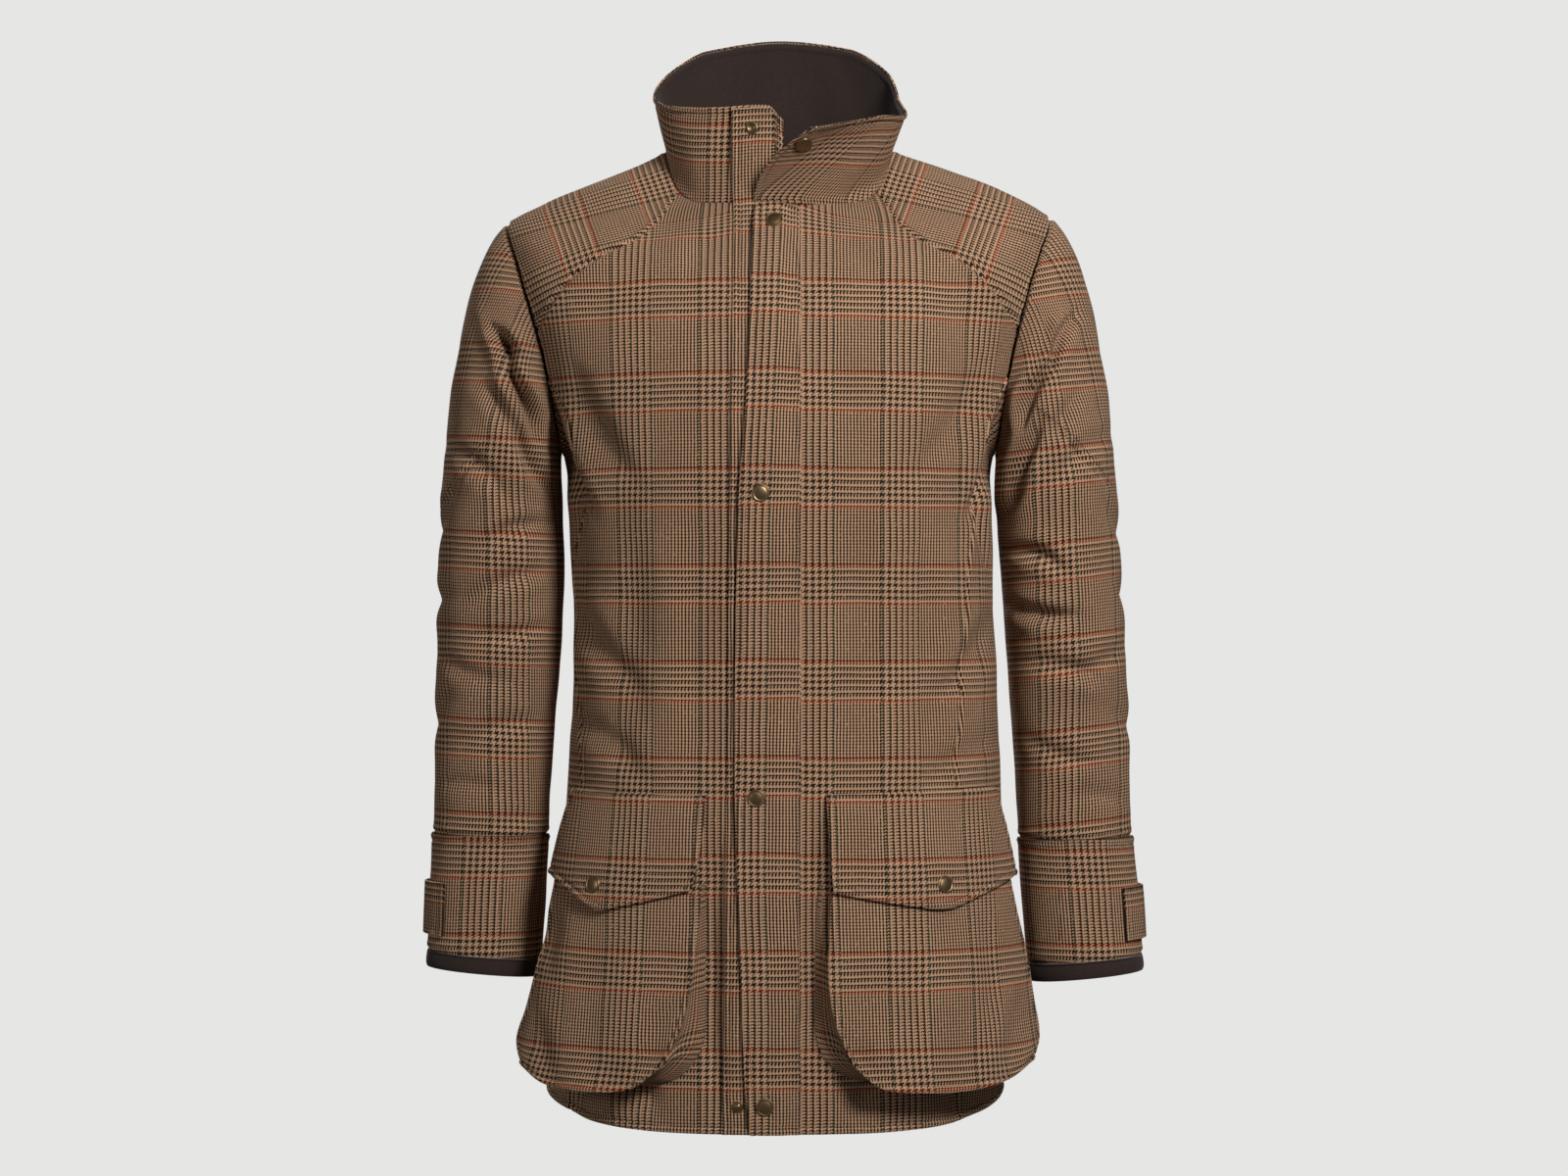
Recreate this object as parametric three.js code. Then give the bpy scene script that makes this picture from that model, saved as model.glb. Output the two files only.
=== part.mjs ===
import * as THREE from 'three';

// Tweed jacket held in the shape of a wearer. Millimetres, +Z up, the front faces -Y.
// The origin is the middle of the neck at the height where the collar meets the shoulders.

// Cloth and seams.
const CLOTH = 2.0;
const COLLAR_CLOTH = 1.6;
const LINING_CLOTH = 1.2;
const STRIP_CLOTH = 1.8;
const SEAM_GAP = 0.3;
const EDGE_TRIM = 0.2;
const DEG = Math.PI / 180;
const FULL_TURN = 2 * Math.PI;

// Rings of the body from the hem (first row) up to the neck (last row).
// left and right are half widths, front and back are depths, ...Z are heights of those points,
// square is the power of the rounded-square outline and drop says how fast the side height falls off.
const BODY_COLUMNS = ['left', 'right', 'leftZ', 'rightZ', 'sideY', 'front', 'frontZ', 'back', 'backZ',
  'square', 'drop'];
const BODY_ROWS = [
  [203, 200, -829, -829, 4, 148, -852, 142, -842, 2.3, 4.8],
  [199, 200, -760, -760, 4, 147, -772, 139, -768, 2.3, 4.0],
  [193, 199, -660, -660, 4, 144, -668, 133, -665, 2.3, 3.0],
  [186, 197, -560, -560, 4, 139, -566, 126, -563, 2.3, 3.0],
  [180, 194, -460, -460, 4, 135, -464, 121, -462, 2.3, 3.0],
  [182, 190, -370, -370, 4, 138, -374, 128, -372, 2.3, 3.0],
  [187, 190, -290, -290, 4, 142, -300, 137, -292, 2.3, 3.0],
  [200, 202, -235, -235, 4, 142, -252, 141, -236, 2.3, 3.0],
  [218, 219, -175, -173, 4, 138, -206, 140, -176, 2.3, 3.0],
  [234, 234, -125, -121, 4, 130, -166, 135, -127, 2.3, 3.0],
  [241, 242, -88, -83, 4, 121, -134, 127, -88, 2.3, 3.0],
  [238, 241, -64, -59, 4, 111, -108, 117, -56, 2.25, 3.2],
  [204, 207, -45, -38, 3, 100, -90, 106, -33, 2.2, 3.6],
  [166, 169, -29, -22, 2, 91, -75, 95, -13, 2.2, 4.4],
  [128, 130, -14, -9, 1, 83, -62, 83, 2, 2.2, 6.0],
  [98, 100, 0, 1, 0, 76, -50, 72, 12, 2.2, 9.0],
];
const NECK_LEVEL = BODY_ROWS.length - 1;
const NORMAL_STEP = { angle: 0.004, level: 0.02 };
const FLAT = { aRadian: 160, aLevel: 60 };

// First guess and largest steps of the search for the spot of the body seen at a given x and z.
const SEARCH = { turns: 40, nudge: 0.001, close: 1e-4, angleStep: 0.12, levelStep: 0.8, widest: 100 * DEG };
const GUESS = { halfWidth: 215, armpitZ: -300, hemZ: -850, lowerRow: 92, armpitLevel: 6, upperRow: 30 };

// Armhole: an oval on the body drawn between these levels, with its reach forward and backward.
const SHOULDER_LEVEL = 11;
const ARMPIT_LEVEL = 6.46;
const ARMHOLE_FRONT_REACH = 25 * DEG;
const ARMHOLE_BACK_REACH = 24 * DEG;

// Shoulder yoke: where its seams leave the neck and the front seam as seen from the front.
const YOKE_NECK_FRONT = 57 * DEG;
const YOKE_NECK_BACK = 123 * DEG;
const YOKE_SEAM = [
  { x: 103, z: -66 },
  { x: 120.5, z: -82 },
  { x: 146, z: -96 },
  { x: 176, z: -117 },
  { x: 200, z: -146 },
];
const YOKE_END_Z = -163;
const BACK_YOKE_LEVELS = [13.6, 12.3, 11.2, 10.3, 9.4];
const BACK_YOKE_END = FULL_TURN - 103 * DEG;
const BACK_YOKE_BOW = 0.16;

// Side seams: angle of the seam round the body at each level, in degrees from the centre front.
const SIDE_SEAM = [
  { level: 0, left: 60, right: 48, rear: 118 },
  { level: 2, left: 60, right: 48, rear: 117 },
  { level: 3, left: 62, right: 48.5, rear: 116 },
  { level: 4, left: 72, right: 52.5, rear: 115 },
  { level: 5, left: 75, right: 57, rear: 114 },
  { level: 6, left: 62.5, right: 63, rear: 112 },
  { level: 7, left: 59.5, right: 60, rear: 110 },
  { level: 7.62, left: 68, right: 68, rear: 109 },
];
const SIDE_FRONT_ANGLE = 118 * DEG;
const SIDE_BACK_ANGLE = 240 * DEG;
const SEAM_BLEND = 1.2;

// Grid counts of the panels; neighbours share the counts along a seam.
const SEAM_ROWS = 15;
const FRONT_ARMHOLE_ROWS = 1;
const BACK_ARMHOLE_ROWS = 2;
const YOKE_ARC_STEPS = 10;
const UNDERARM_STEPS = 7;
const YOKE_SEAM_STEPS = 6;
const FRONT_NECK_STEPS = 4;
const BACK_NECK_STEPS = 4;
const CAP_STEPS = 6;

// Sleeves: sections down the arm. x is the middle, wide and deep are half sizes,
// tilt is how much the outer edge stands higher than the inner one.
const SLEEVE_COLUMNS = ['z', 'x', 'wide', 'y', 'deep', 'tilt'];
const LEFT_SLEEVE = [
  [-304, -244.5, 53.0, 12, 73, 10],
  [-370, -245.5, 55.5, 15, 69, 4],
  [-430, -247.5, 55.5, 18, 64, 2],
  [-509, -251.6, 53.2, 20, 57, 0],
  [-561, -254, 51.6, 19, 52, 0],
  [-605, -255.5, 51.0, 17, 49, 1],
  [-660, -258, 50.5, 14, 47, 3],
  [-712, -260.5, 49.5, 11, 46, 4],
  [-728, -261.5, 48.8, 10, 45, 4.5],
];
const RIGHT_SLEEVE = [
  [-304, 247.5, 53.5, 12, 73, 10],
  [-370, 252.5, 53.0, 15, 69, 4],
  [-430, 256.5, 52.8, 18, 64, 2],
  [-509, 261, 52.0, 20, 57, 0],
  [-561, 263.8, 50.8, 19, 52, 0],
  [-608, 265.5, 50.2, 17, 49, 1],
  [-664, 270, 50.8, 14, 47, 3],
  [-716, 273.5, 50.0, 11, 46, 4],
  [-732, 274.8, 49.2, 10, 45, 5],
];
const SLEEVE_SQUARE = 2.15;
const CUFF = { section: 5, rows: 3, step: 1.2 };
const BINDING = { section: 7, reach: 0.9, step: 1.7, cloth: 2.8 };
const SECTION_GAP = 0.02;
const TAB = { top: 5.81, bottom: 6.64, from: 50 * DEG, to: -58 * DEG, steps: 8, stand: 2.0, middle: 45 * DEG };

// Sleeve cap: the way the cloth leaves the armhole and how hard it is pulled that way.
const CAP_LEAVING = { out: 0.5, outAtTip: 0.4, forward: 0.35, down: 0.75, downAtTip: 0.25 };
const CAP_PULL = 0.6;

// Collar stand: bearing runs from the left front end round the back to the right front end.
// top is the height of its upper edge, lean how far that edge stands out from the neck,
// step how far its foot stands out, swing how far the upper edge is turned back.
const COLLAR = [
  { bearing: 3, top: 20, lean: 3, step: 0, swing: 0 },
  { bearing: -4, top: 32, lean: 4, step: 0, swing: 0 },
  { bearing: -30, top: 31, lean: 6, step: 0, swing: 0 },
  { bearing: -60, top: 36, lean: 9, step: 0, swing: 0 },
  { bearing: -90, top: 50, lean: 12, step: 0, swing: 0 },
  { bearing: -115, top: 74, lean: 8, step: 0, swing: 0 },
  { bearing: -140, top: 97, lean: 3, step: 0, swing: 0 },
  { bearing: -180, top: 108, lean: -1, step: 0, swing: 0 },
  { bearing: -220, top: 99, lean: 3, step: 0, swing: 0 },
  { bearing: -245, top: 75, lean: 8, step: 0, swing: 0 },
  { bearing: -270, top: 46, lean: 9, step: 0, swing: 0 },
  { bearing: -300, top: 27, lean: 24, step: 0.5, swing: 3 },
  { bearing: -325, top: 22, lean: 34, step: 2.5, swing: 9 },
  { bearing: -345, top: 15, lean: 40, step: 7.0, swing: 16 },
  { bearing: -369, top: 6, lean: 44, step: 7.6, swing: 24 },
];
const COLLAR_ROWS = 4;
const COLLAR_SWELL = 2.5;
const COLLAR_ROLL = 1.5;
const LINING_TOP = 0.99;

// Front edge: the covering flap and the strip below it. Their free edges, left of the middle,
// are seen at these distances from it at each height.
const FRONT_EDGES = [
  { z: -850, flap: -23.0, strip: -47.0 },
  { z: -810, flap: -27.0, strip: -46.5 },
  { z: -724, flap: -30.0, strip: -45.0 },
  { z: -638, flap: -33.2, strip: -43.5 },
  { z: -554, flap: -35.4, strip: -42.5 },
  { z: -413, flap: -34.3, strip: -41.3 },
  { z: -307, flap: -31.6, strip: -39.7 },
  { z: -216, flap: -25.7, strip: -38.8 },
  { z: -142, flap: -23.2, strip: -37.8 },
  { z: -70, flap: -20.5, strip: -37.5 },
  { z: -50, flap: -17.0, strip: -37.5 },
];
const FLAP = { right: 20, reach: 14.45, steps: 4, step: 0.45, edge: 2, letDown: 12 };
const STRIP = { right: -1, reach: 14.5, steps: 3, lift: 0.6 };
const STRIP_ON_COLLAR = { bottom: 0.1, top: 0.97, steps: 4 };
const FRONT_ROWS = 16;

// Pockets: outlines of the hanging face as seen from the front, corner to corner.
const LEFT_POCKET = {
  inner: [[-62, -592], [-63.5, -622], [-66.5, -672], [-73, -722], [-83, -764], [-97.6, -792]],
  bottom: [[-97.6, -792], [-122, -810.5], [-145, -815.5], [-180, -816], [-205, -812], [-222, -800]],
  outer: [[-186, -592], [-194, -640], [-208, -706], [-219, -752], [-227, -780], [-222, -800]],
  foot: [[-61, -640], [-61, -672], [-61.5, -722], [-63, -776], [-82, -803], [-110, -811], [-145, -812],
    [-168, -806], [-186, -780], [-186, -740], [-183, -690], [-178, -640]],
  flap: {
    top: [[-61, -564], [-100, -564], [-142, -562.5], [-180, -561]],
    inner: [[-61, -564], [-65.5, -610], [-72.8, -644]],
    outer: [[-180, -561], [-190, -597], [-200, -636]],
    bottom: [[-72.8, -644], [-100, -651], [-130, -658], [-156, -663], [-180, -650], [-200, -636]],
  },
  snap: { x: -158, z: -642, share: 0.68 },
};
const RIGHT_POCKET = {
  inner: [[43, -592], [46, -622], [45, -672], [44, -722], [50, -757], [65, -791]],
  bottom: [[65, -791], [88, -810], [124, -815], [168, -815], [200, -809], [222, -796]],
  outer: [[193, -592], [203, -640], [217, -706], [224, -745], [228, -776], [222, -796]],
  foot: [[37, -640], [34, -672], [33.5, -722], [35, -775], [52, -799], [85, -809], [130, -812],
    [168, -806], [188, -780], [189, -740], [188, -690], [186, -640]],
  flap: {
    top: [[42, -563], [90, -562], [140, -561], [192, -560]],
    inner: [[42, -563], [45, -610], [48.3, -646]],
    outer: [[192, -560], [201, -597], [209, -638]],
    bottom: [[48.3, -646], [80, -652], [115, -658], [146, -661.5], [178, -651], [209, -638]],
  },
  snap: { x: 144, z: -641, share: 0.6 },
};
const POCKET_MOUTH_Z = -585;
const POCKET_DROP = 230;
const POCKET_LIFT = 3.2;
const POCKET_SWELL = { inner: 27, outer: 41, power: 1.2 };
const POCKET_FACE = { across: 9, down: 9 };
const GUSSET = { start: 2, across: 2, cloth: 1.6, inset: 0.5, footGap: 0.8, middleX: 130, middleZ: -690 };
const POCKET_FLAP = { across: 9, down: 4, cloth: 2.2, hugZ: -562, hugDepth: 26, rise: 3.6, lift: 3.6 };
const FLAP_OVERHANG = 1.09;

// Metal: radius and height pairs from the rim round the top to the middle.
const CAP_PROFILE = [[7.5, 0], [7.5, 0.7], [6.6, 1.6], [4.2, 2.0]];
const CAP_HEIGHT = 1.8;
const STUD_PROFILE = [[4.8, 0], [4.8, 0.8], [3.2, 1.4], [2.6, 3.0]];
const STUD_HEIGHT = 3.6;
const SOCKET_PROFILE = [[5.0, 0], [5.0, 1.0], [4.2, 1.6], [2.6, 1.6]];
const SOCKET_HEIGHT = 1.0;
const METAL_SIDES = 14;
const METAL_SEAT = 0.5;
const FLAP_SEAT = 0.4;
const FLAP_CAPS = [
  { name: 'snap_cap_neck', x: -2.6, z: -69 },
  { name: 'snap_cap_chest', x: -13.8, z: -306 },
  { name: 'snap_cap_waist', x: -17.8, z: -566 },
  { name: 'snap_cap_hem', x: -10.1, z: -828 },
];
const STUD_PLACE = { x: -33.5, z: -828 };
const COLLAR_SOCKET = { bearing: -12, height: 0.75 };
const COLLAR_CAP = { bearing: -362.5, height: 0.76, seat: 0.5 };

const tweed = new THREE.MeshStandardMaterial({ color: '#8b6d4e', roughness: 0.95, metalness: 0 });
const moleskin = new THREE.MeshStandardMaterial({ color: '#3a2c26', roughness: 0.9, metalness: 0 });
const brass = new THREE.MeshStandardMaterial({ color: '#7d6a40', roughness: 0.45, metalness: 1 });

const mix = (a, b, t) => a + (b - a) * t;
const clamp = (value, low, high) => Math.min(high, Math.max(low, value));

function smooth(t) {
  const u = clamp(t, 0, 1);
  return u * u * (3 - 2 * u);
}

function cubic(a, b, c, d, t) {
  const t2 = t * t;
  const t3 = t2 * t;
  return 0.5 * (2 * b + (c - a) * t + (2 * a - 5 * b + 4 * c - d) * t2 + (3 * b - a - 3 * c + d) * t3);
}

// Reads a column table at a fractional row with a smooth curve through the rows.
function readRows(rows, columns, at) {
  const last = rows.length - 1;
  const index = clamp(Math.floor(at), 0, last - 1);
  const t = at - index;
  const result = {};
  columns.forEach((name, column) => {
    const value = (row) => {
      if (row < 0) {
        return 2 * rows[0][column] - rows[1][column];
      }
      if (row > last) {
        return 2 * rows[last][column] - rows[last - 1][column];
      }
      return rows[row][column];
    };
    result[name] = cubic(value(index - 1), value(index), value(index + 1), value(index + 2), t);
  });
  return result;
}

// Reads a table of named numbers along its key column with straight steps.
function readKeyed(table, key, at, name) {
  const rising = table[table.length - 1][key] > table[0][key];
  let index = 0;
  while (index < table.length - 2 && (rising ? at > table[index + 1][key] : at < table[index + 1][key])) {
    index += 1;
  }
  const low = table[index];
  const high = table[index + 1];
  return mix(low[name], high[name], clamp((at - low[key]) / (high[key] - low[key]), 0, 1));
}

// Reads the same kind of table with a smooth curve through its rows.
function readCurve(table, key, at, name) {
  const rising = table[table.length - 1][key] > table[0][key];
  let index = 0;
  while (index < table.length - 2 && (rising ? at > table[index + 1][key] : at < table[index + 1][key])) {
    index += 1;
  }
  const pick = (row) => table[clamp(row, 0, table.length - 1)][name];
  const t = clamp((at - table[index][key]) / (table[index + 1][key] - table[index][key]), 0, 1);
  return cubic(pick(index - 1), pick(index), pick(index + 1), pick(index + 2), t);
}

// Point of the body surface at an angle from the centre front and a level between hem and neck.
function bodyPoint(angle, level) {
  const ring = readRows(BODY_ROWS, BODY_COLUMNS, level);
  const sine = Math.sin(angle);
  const cosine = Math.cos(angle);
  const reach = (Math.abs(sine) ** ring.square + Math.abs(cosine) ** ring.square) ** (-1 / ring.square);
  const width = sine > 0 ? ring.right : ring.left;
  const sideZ = sine > 0 ? ring.rightZ : ring.leftZ;
  const depth = cosine > 0 ? ring.front : ring.back;
  const middleZ = cosine > 0 ? ring.frontZ : ring.backZ;
  const side = Math.abs(sine) ** ring.drop;
  return new THREE.Vector3(
    width * reach * sine,
    ring.sideY * side - depth * reach * cosine,
    mix(middleZ, sideZ, side),
  );
}

function bodyNormal(angle, level) {
  const { angle: turn, level: rise } = NORMAL_STEP;
  const above = Math.min(level + rise, NECK_LEVEL);
  const below = Math.max(above - 2 * rise, 0);
  const across = bodyPoint(angle + turn, level).sub(bodyPoint(angle - turn, level));
  const up = bodyPoint(angle, above).sub(bodyPoint(angle, below));
  return across.cross(up).normalize();
}

function aboveBody(angle, level, height) {
  return bodyPoint(angle, level).addScaledVector(bodyNormal(angle, level), height);
}

// Finds the place on the front half of the body whose lifted point is seen at x and z.
function findOnBody(x, z, height = 0) {
  const side = x < 0 ? -1 : 1;
  const { nudge } = SEARCH;
  let angle = side * Math.asin(clamp(Math.abs(x) / GUESS.halfWidth, 0.02, 0.96));
  let level = z < GUESS.armpitZ
    ? (z - GUESS.hemZ) / GUESS.lowerRow
    : GUESS.armpitLevel + (z - GUESS.armpitZ) / GUESS.upperRow;
  for (let turn = 0; turn < SEARCH.turns; turn += 1) {
    level = clamp(level, nudge, NECK_LEVEL - 0.01);
    const here = aboveBody(angle, level, height);
    const errorX = here.x - x;
    const errorZ = here.z - z;
    if (Math.abs(errorX) + Math.abs(errorZ) < SEARCH.close) {
      break;
    }
    const turned = aboveBody(angle + nudge, level, height);
    const raised = aboveBody(angle, level + nudge, height);
    const xa = (turned.x - here.x) / nudge;
    const za = (turned.z - here.z) / nudge;
    const xl = (raised.x - here.x) / nudge;
    const zl = (raised.z - here.z) / nudge;
    const scale = xa * zl - xl * za;
    angle -= clamp((errorX * zl - errorZ * xl) / scale, -SEARCH.angleStep, SEARCH.angleStep);
    level -= clamp((errorZ * xa - errorX * za) / scale, -SEARCH.levelStep, SEARCH.levelStep);
    angle = clamp(angle, -SEARCH.widest, SEARCH.widest);
  }
  return { angle, level };
}

// Place on the armhole. turn 0 is the shoulder tip, a quarter turn the front, a half the armpit.
function armholePlace(turn, side) {
  const reach = Math.sin(turn) > 0 ? ARMHOLE_FRONT_REACH : ARMHOLE_BACK_REACH;
  const middle = (SHOULDER_LEVEL + ARMPIT_LEVEL) / 2;
  const half = (SHOULDER_LEVEL - ARMPIT_LEVEL) / 2;
  return { angle: side * (Math.PI / 2 - reach * Math.sin(turn)), level: middle + half * Math.cos(turn) };
}

// Turn on the front of the armhole at a given height.
function armholeTurnAt(height, side) {
  let low = 20 * DEG;
  let high = 175 * DEG;
  for (let step = 0; step < SEARCH.turns; step += 1) {
    const middle = (low + high) / 2;
    const place = armholePlace(middle, side);
    if (bodyPoint(place.angle, place.level).z > height) {
      low = middle;
    } else {
      high = middle;
    }
  }
  return (low + high) / 2;
}

function spread(from, to, steps) {
  return Array.from({ length: steps + 1 }, (_, index) => mix(from, to, index / steps));
}

// Spreads places evenly along a smooth line through the given ones.
function resample(points, steps) {
  const curve = new THREE.CatmullRomCurve3(points, false, 'centripetal');
  curve.arcLengthDivisions = 200;
  return spread(0, 1, steps).map((t) => curve.getPointAt(t));
}

// A place as a flat point in about millimetres, and back.
const asVector = (place) => new THREE.Vector3(place.angle * FLAT.aRadian, place.level * FLAT.aLevel, 0);
const asPlace = (vector) => ({ angle: vector.x / FLAT.aRadian, level: vector.y / FLAT.aLevel });

// Fills the inside of four edge lines of points; opposite edges run the same way.
function fillEdges(bottom, top, first, last) {
  const columns = bottom.length - 1;
  const rows = first.length - 1;
  return first.map((_, row) => bottom.map((__, column) => {
    const u = column / columns;
    const v = row / rows;
    const across = first[row].clone().lerp(last[row], u);
    const along = bottom[column].clone().lerp(top[column], v);
    const corners = bottom[0].clone().lerp(bottom[columns], u)
      .lerp(top[0].clone().lerp(top[columns], u), v);
    return across.add(along).sub(corners);
  }));
}

function ringWidth(level) {
  const ring = readRows(BODY_ROWS, BODY_COLUMNS, level);
  return (ring.left + ring.right) / 2;
}

// Fills a panel in flat cloth lengths measured round the body from its own middle angle.
function fillPlaces(bottom, top, first, last, origin) {
  const flat = (places) => places.map((place) => new THREE.Vector3(
    (place.angle - origin) * ringWidth(place.level),
    place.level,
    0,
  ));
  return fillEdges(flat(bottom), flat(top), flat(first), flat(last)).map((row) => row.map((point) => ({
    angle: origin + point.x / ringWidth(point.y),
    level: point.y,
  })));
}

// Draws the rim of a grid of points inward, square to the seam, so that neighbours keep their gap.
function trimEdges(outer, inner, trims) {
  const rows = outer.length - 1;
  const columns = outer[0].length - 1;
  const edges = {
    bottom: outer[0].map((_, column) => [0, column, 1, column]),
    top: outer[0].map((_, column) => [rows, column, rows - 1, column]),
    first: outer.map((_, row) => [row, 0, row, 1]),
    last: outer.map((_, row) => [row, columns, row, columns - 1]),
  };
  const shifts = [];
  Object.keys(trims).forEach((name) => edges[name].forEach(([row, column, toRow, toColumn], index) => {
    const before = edges[name][Math.max(index - 1, 0)];
    const after = edges[name][Math.min(index + 1, edges[name].length - 1)];
    const along = outer[after[0]][after[1]].clone().sub(outer[before[0]][before[1]]).normalize();
    const shift = outer[toRow][toColumn].clone().sub(outer[row][column]);
    shift.addScaledVector(along, -shift.dot(along)).setLength(EDGE_TRIM);
    shifts.push([row, column, shift]);
  }));
  shifts.forEach(([row, column, shift]) => {
    outer[row][column].add(shift);
    inner[row][column].add(shift);
  });
}

// Joins an outer and an inner grid of points into one closed wall.
function wall(outer, inner, closed = false) {
  const rows = outer.length;
  const columns = outer[0].length;
  const positions = [];
  [...outer, ...inner].flat().forEach((point) => positions.push(point.x, point.y, point.z));
  const at = (layer, row, column) => layer * rows * columns + row * columns + (column % columns);
  const triangles = [];
  const quad = (a, b, c, d) => triangles.push(a, b, c, a, c, d);
  const lastColumn = closed ? columns : columns - 1;
  for (let row = 0; row < rows - 1; row += 1) {
    for (let column = 0; column < lastColumn; column += 1) {
      quad(at(0, row, column), at(0, row, column + 1), at(0, row + 1, column + 1), at(0, row + 1, column));
      quad(at(1, row, column), at(1, row + 1, column), at(1, row + 1, column + 1), at(1, row, column + 1));
    }
  }
  for (let column = 0; column < lastColumn; column += 1) {
    quad(at(0, 0, column), at(1, 0, column), at(1, 0, column + 1), at(0, 0, column + 1));
    const top = rows - 1;
    quad(at(0, top, column), at(0, top, column + 1), at(1, top, column + 1), at(1, top, column));
  }
  if (!closed) {
    for (let row = 0; row < rows - 1; row += 1) {
      quad(at(0, row, 0), at(0, row + 1, 0), at(1, row + 1, 0), at(1, row, 0));
      const end = columns - 1;
      quad(at(0, row, end), at(1, row, end), at(1, row + 1, end), at(0, row + 1, end));
    }
  }
  return orient(positions, triangles);
}

// Makes a geometry whose faces look outward.
function orient(positions, triangles) {
  const corner = (index) => new THREE.Vector3().fromArray(positions, triangles[index] * 3);
  let volume = 0;
  for (let index = 0; index < triangles.length; index += 3) {
    volume += corner(index).dot(corner(index + 1).cross(corner(index + 2)));
  }
  if (volume < 0) {
    for (let index = 0; index < triangles.length; index += 3) {
      [triangles[index], triangles[index + 1]] = [triangles[index + 1], triangles[index]];
    }
  }
  const geometry = new THREE.BufferGeometry();
  geometry.setAttribute('position', new THREE.Float32BufferAttribute(positions, 3));
  geometry.setIndex(triangles);
  geometry.computeVertexNormals();
  return geometry;
}

const group = new THREE.Group();
group.name = 'tweed_jacket';

function addPiece(name, geometry, material) {
  const mesh = new THREE.Mesh(geometry, material.clone());
  mesh.name = name;
  group.add(mesh);
}

// Body panel between four edges of places, its wall turned to the inside of the coat.
function bodyPanel(bottom, top, first, last, origin, trims) {
  const places = fillPlaces(bottom, top, first, last, origin);
  const outer = places.map((row) => row.map((place) => bodyPoint(place.angle, place.level)));
  const inner = places.map((row) => row.map((place) => aboveBody(place.angle, place.level, -CLOTH)));
  trimEdges(outer, inner, trims);
  return wall(outer, inner);
}

// Seam and armhole lines of one side of the body, all as lists of places.
function sideLines(side) {
  const name = side < 0 ? 'left' : 'right';
  const yokeTurn = armholeTurnAt(YOKE_END_Z, side);
  const onArmhole = (turns) => turns.map((turn) => armholePlace(turn, side));
  const seamTop = armholePlace(SIDE_FRONT_ANGLE, side);
  const rearTop = armholePlace(SIDE_BACK_ANGLE, side);
  const seamLine = (top, column) => {
    const topAngle = readKeyed(SIDE_SEAM, 'level', top.level, column);
    return spread(0, top.level, SEAM_ROWS).map((level) => {
      const angle = side * readCurve(SIDE_SEAM, 'level', level, column) * DEG;
      const share = smooth((level - top.level + SEAM_BLEND) / SEAM_BLEND);
      return { angle: angle + share * (top.angle - side * topAngle * DEG), level };
    });
  };
  const neckFront = { angle: side * YOKE_NECK_FRONT, level: NECK_LEVEL };
  const neckBack = { angle: side * YOKE_NECK_BACK, level: NECK_LEVEL };
  const yokeEnd = armholePlace(yokeTurn, side);
  const yokeBackEnd = armholePlace(BACK_YOKE_END, side);
  const yokeFront = [
    neckFront,
    ...YOKE_SEAM.map((point) => findOnBody(side * point.x, point.z)),
    yokeEnd,
  ];
  const yokeBack = [
    neckBack,
    ...BACK_YOKE_LEVELS.map((level, index) => {
      const t = (index + 1) / (BACK_YOKE_LEVELS.length + 1);
      const bow = side * BACK_YOKE_BOW * Math.sin(Math.PI * t);
      return { angle: mix(neckBack.angle, yokeBackEnd.angle, t) + bow, level };
    }),
    yokeBackEnd,
  ];
  const along = (points, steps) => resample(points.map(asVector), steps).map(asPlace);
  return {
    seam: seamLine(seamTop, name),
    rear: seamLine(rearTop, 'rear'),
    armholeFront: onArmhole(spread(SIDE_FRONT_ANGLE, yokeTurn, FRONT_ARMHOLE_ROWS)),
    armholeUnder: onArmhole(spread(SIDE_FRONT_ANGLE, SIDE_BACK_ANGLE, UNDERARM_STEPS)),
    armholeBack: onArmhole(spread(SIDE_BACK_ANGLE, BACK_YOKE_END, BACK_ARMHOLE_ROWS)),
    armholeTop: onArmhole(spread(yokeTurn, BACK_YOKE_END - FULL_TURN, YOKE_ARC_STEPS)),
    yokeFront: along(yokeFront, YOKE_SEAM_STEPS),
    yokeBack: along(yokeBack, YOKE_SEAM_STEPS),
    yokeTurn,
  };
}

function ringPlaces(angles, level) {
  return angles.map((angle) => ({ angle, level }));
}

// Front from the centre line to the side seam, and up to the neck and the yoke seam.
function buildFront(side, lines) {
  const steps = FRONT_NECK_STEPS + YOKE_SEAM_STEPS;
  const rows = SEAM_ROWS + FRONT_ARMHOLE_ROWS;
  const hemAngle = lines.seam[0].angle;
  const bottom = ringPlaces(spread(0, hemAngle, steps), 0);
  const neck = ringPlaces(spread(0, side * YOKE_NECK_FRONT, FRONT_NECK_STEPS), NECK_LEVEL);
  const top = [...neck, ...lines.yokeFront.slice(1)];
  const centre = spread(0, NECK_LEVEL, rows).map((level) => ({ angle: 0, level }));
  const outside = [...lines.seam, ...lines.armholeFront.slice(1)];
  return bodyPanel(bottom, top, centre, outside, 0, { first: true, last: true, top: true });
}

function buildSide(side, lines) {
  const bottom = ringPlaces(spread(lines.seam[0].angle, lines.rear[0].angle, UNDERARM_STEPS), 0);
  const trims = { first: true, last: true, top: true };
  return bodyPanel(bottom, lines.armholeUnder, lines.seam, lines.rear, side * Math.PI / 2, trims);
}

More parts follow.
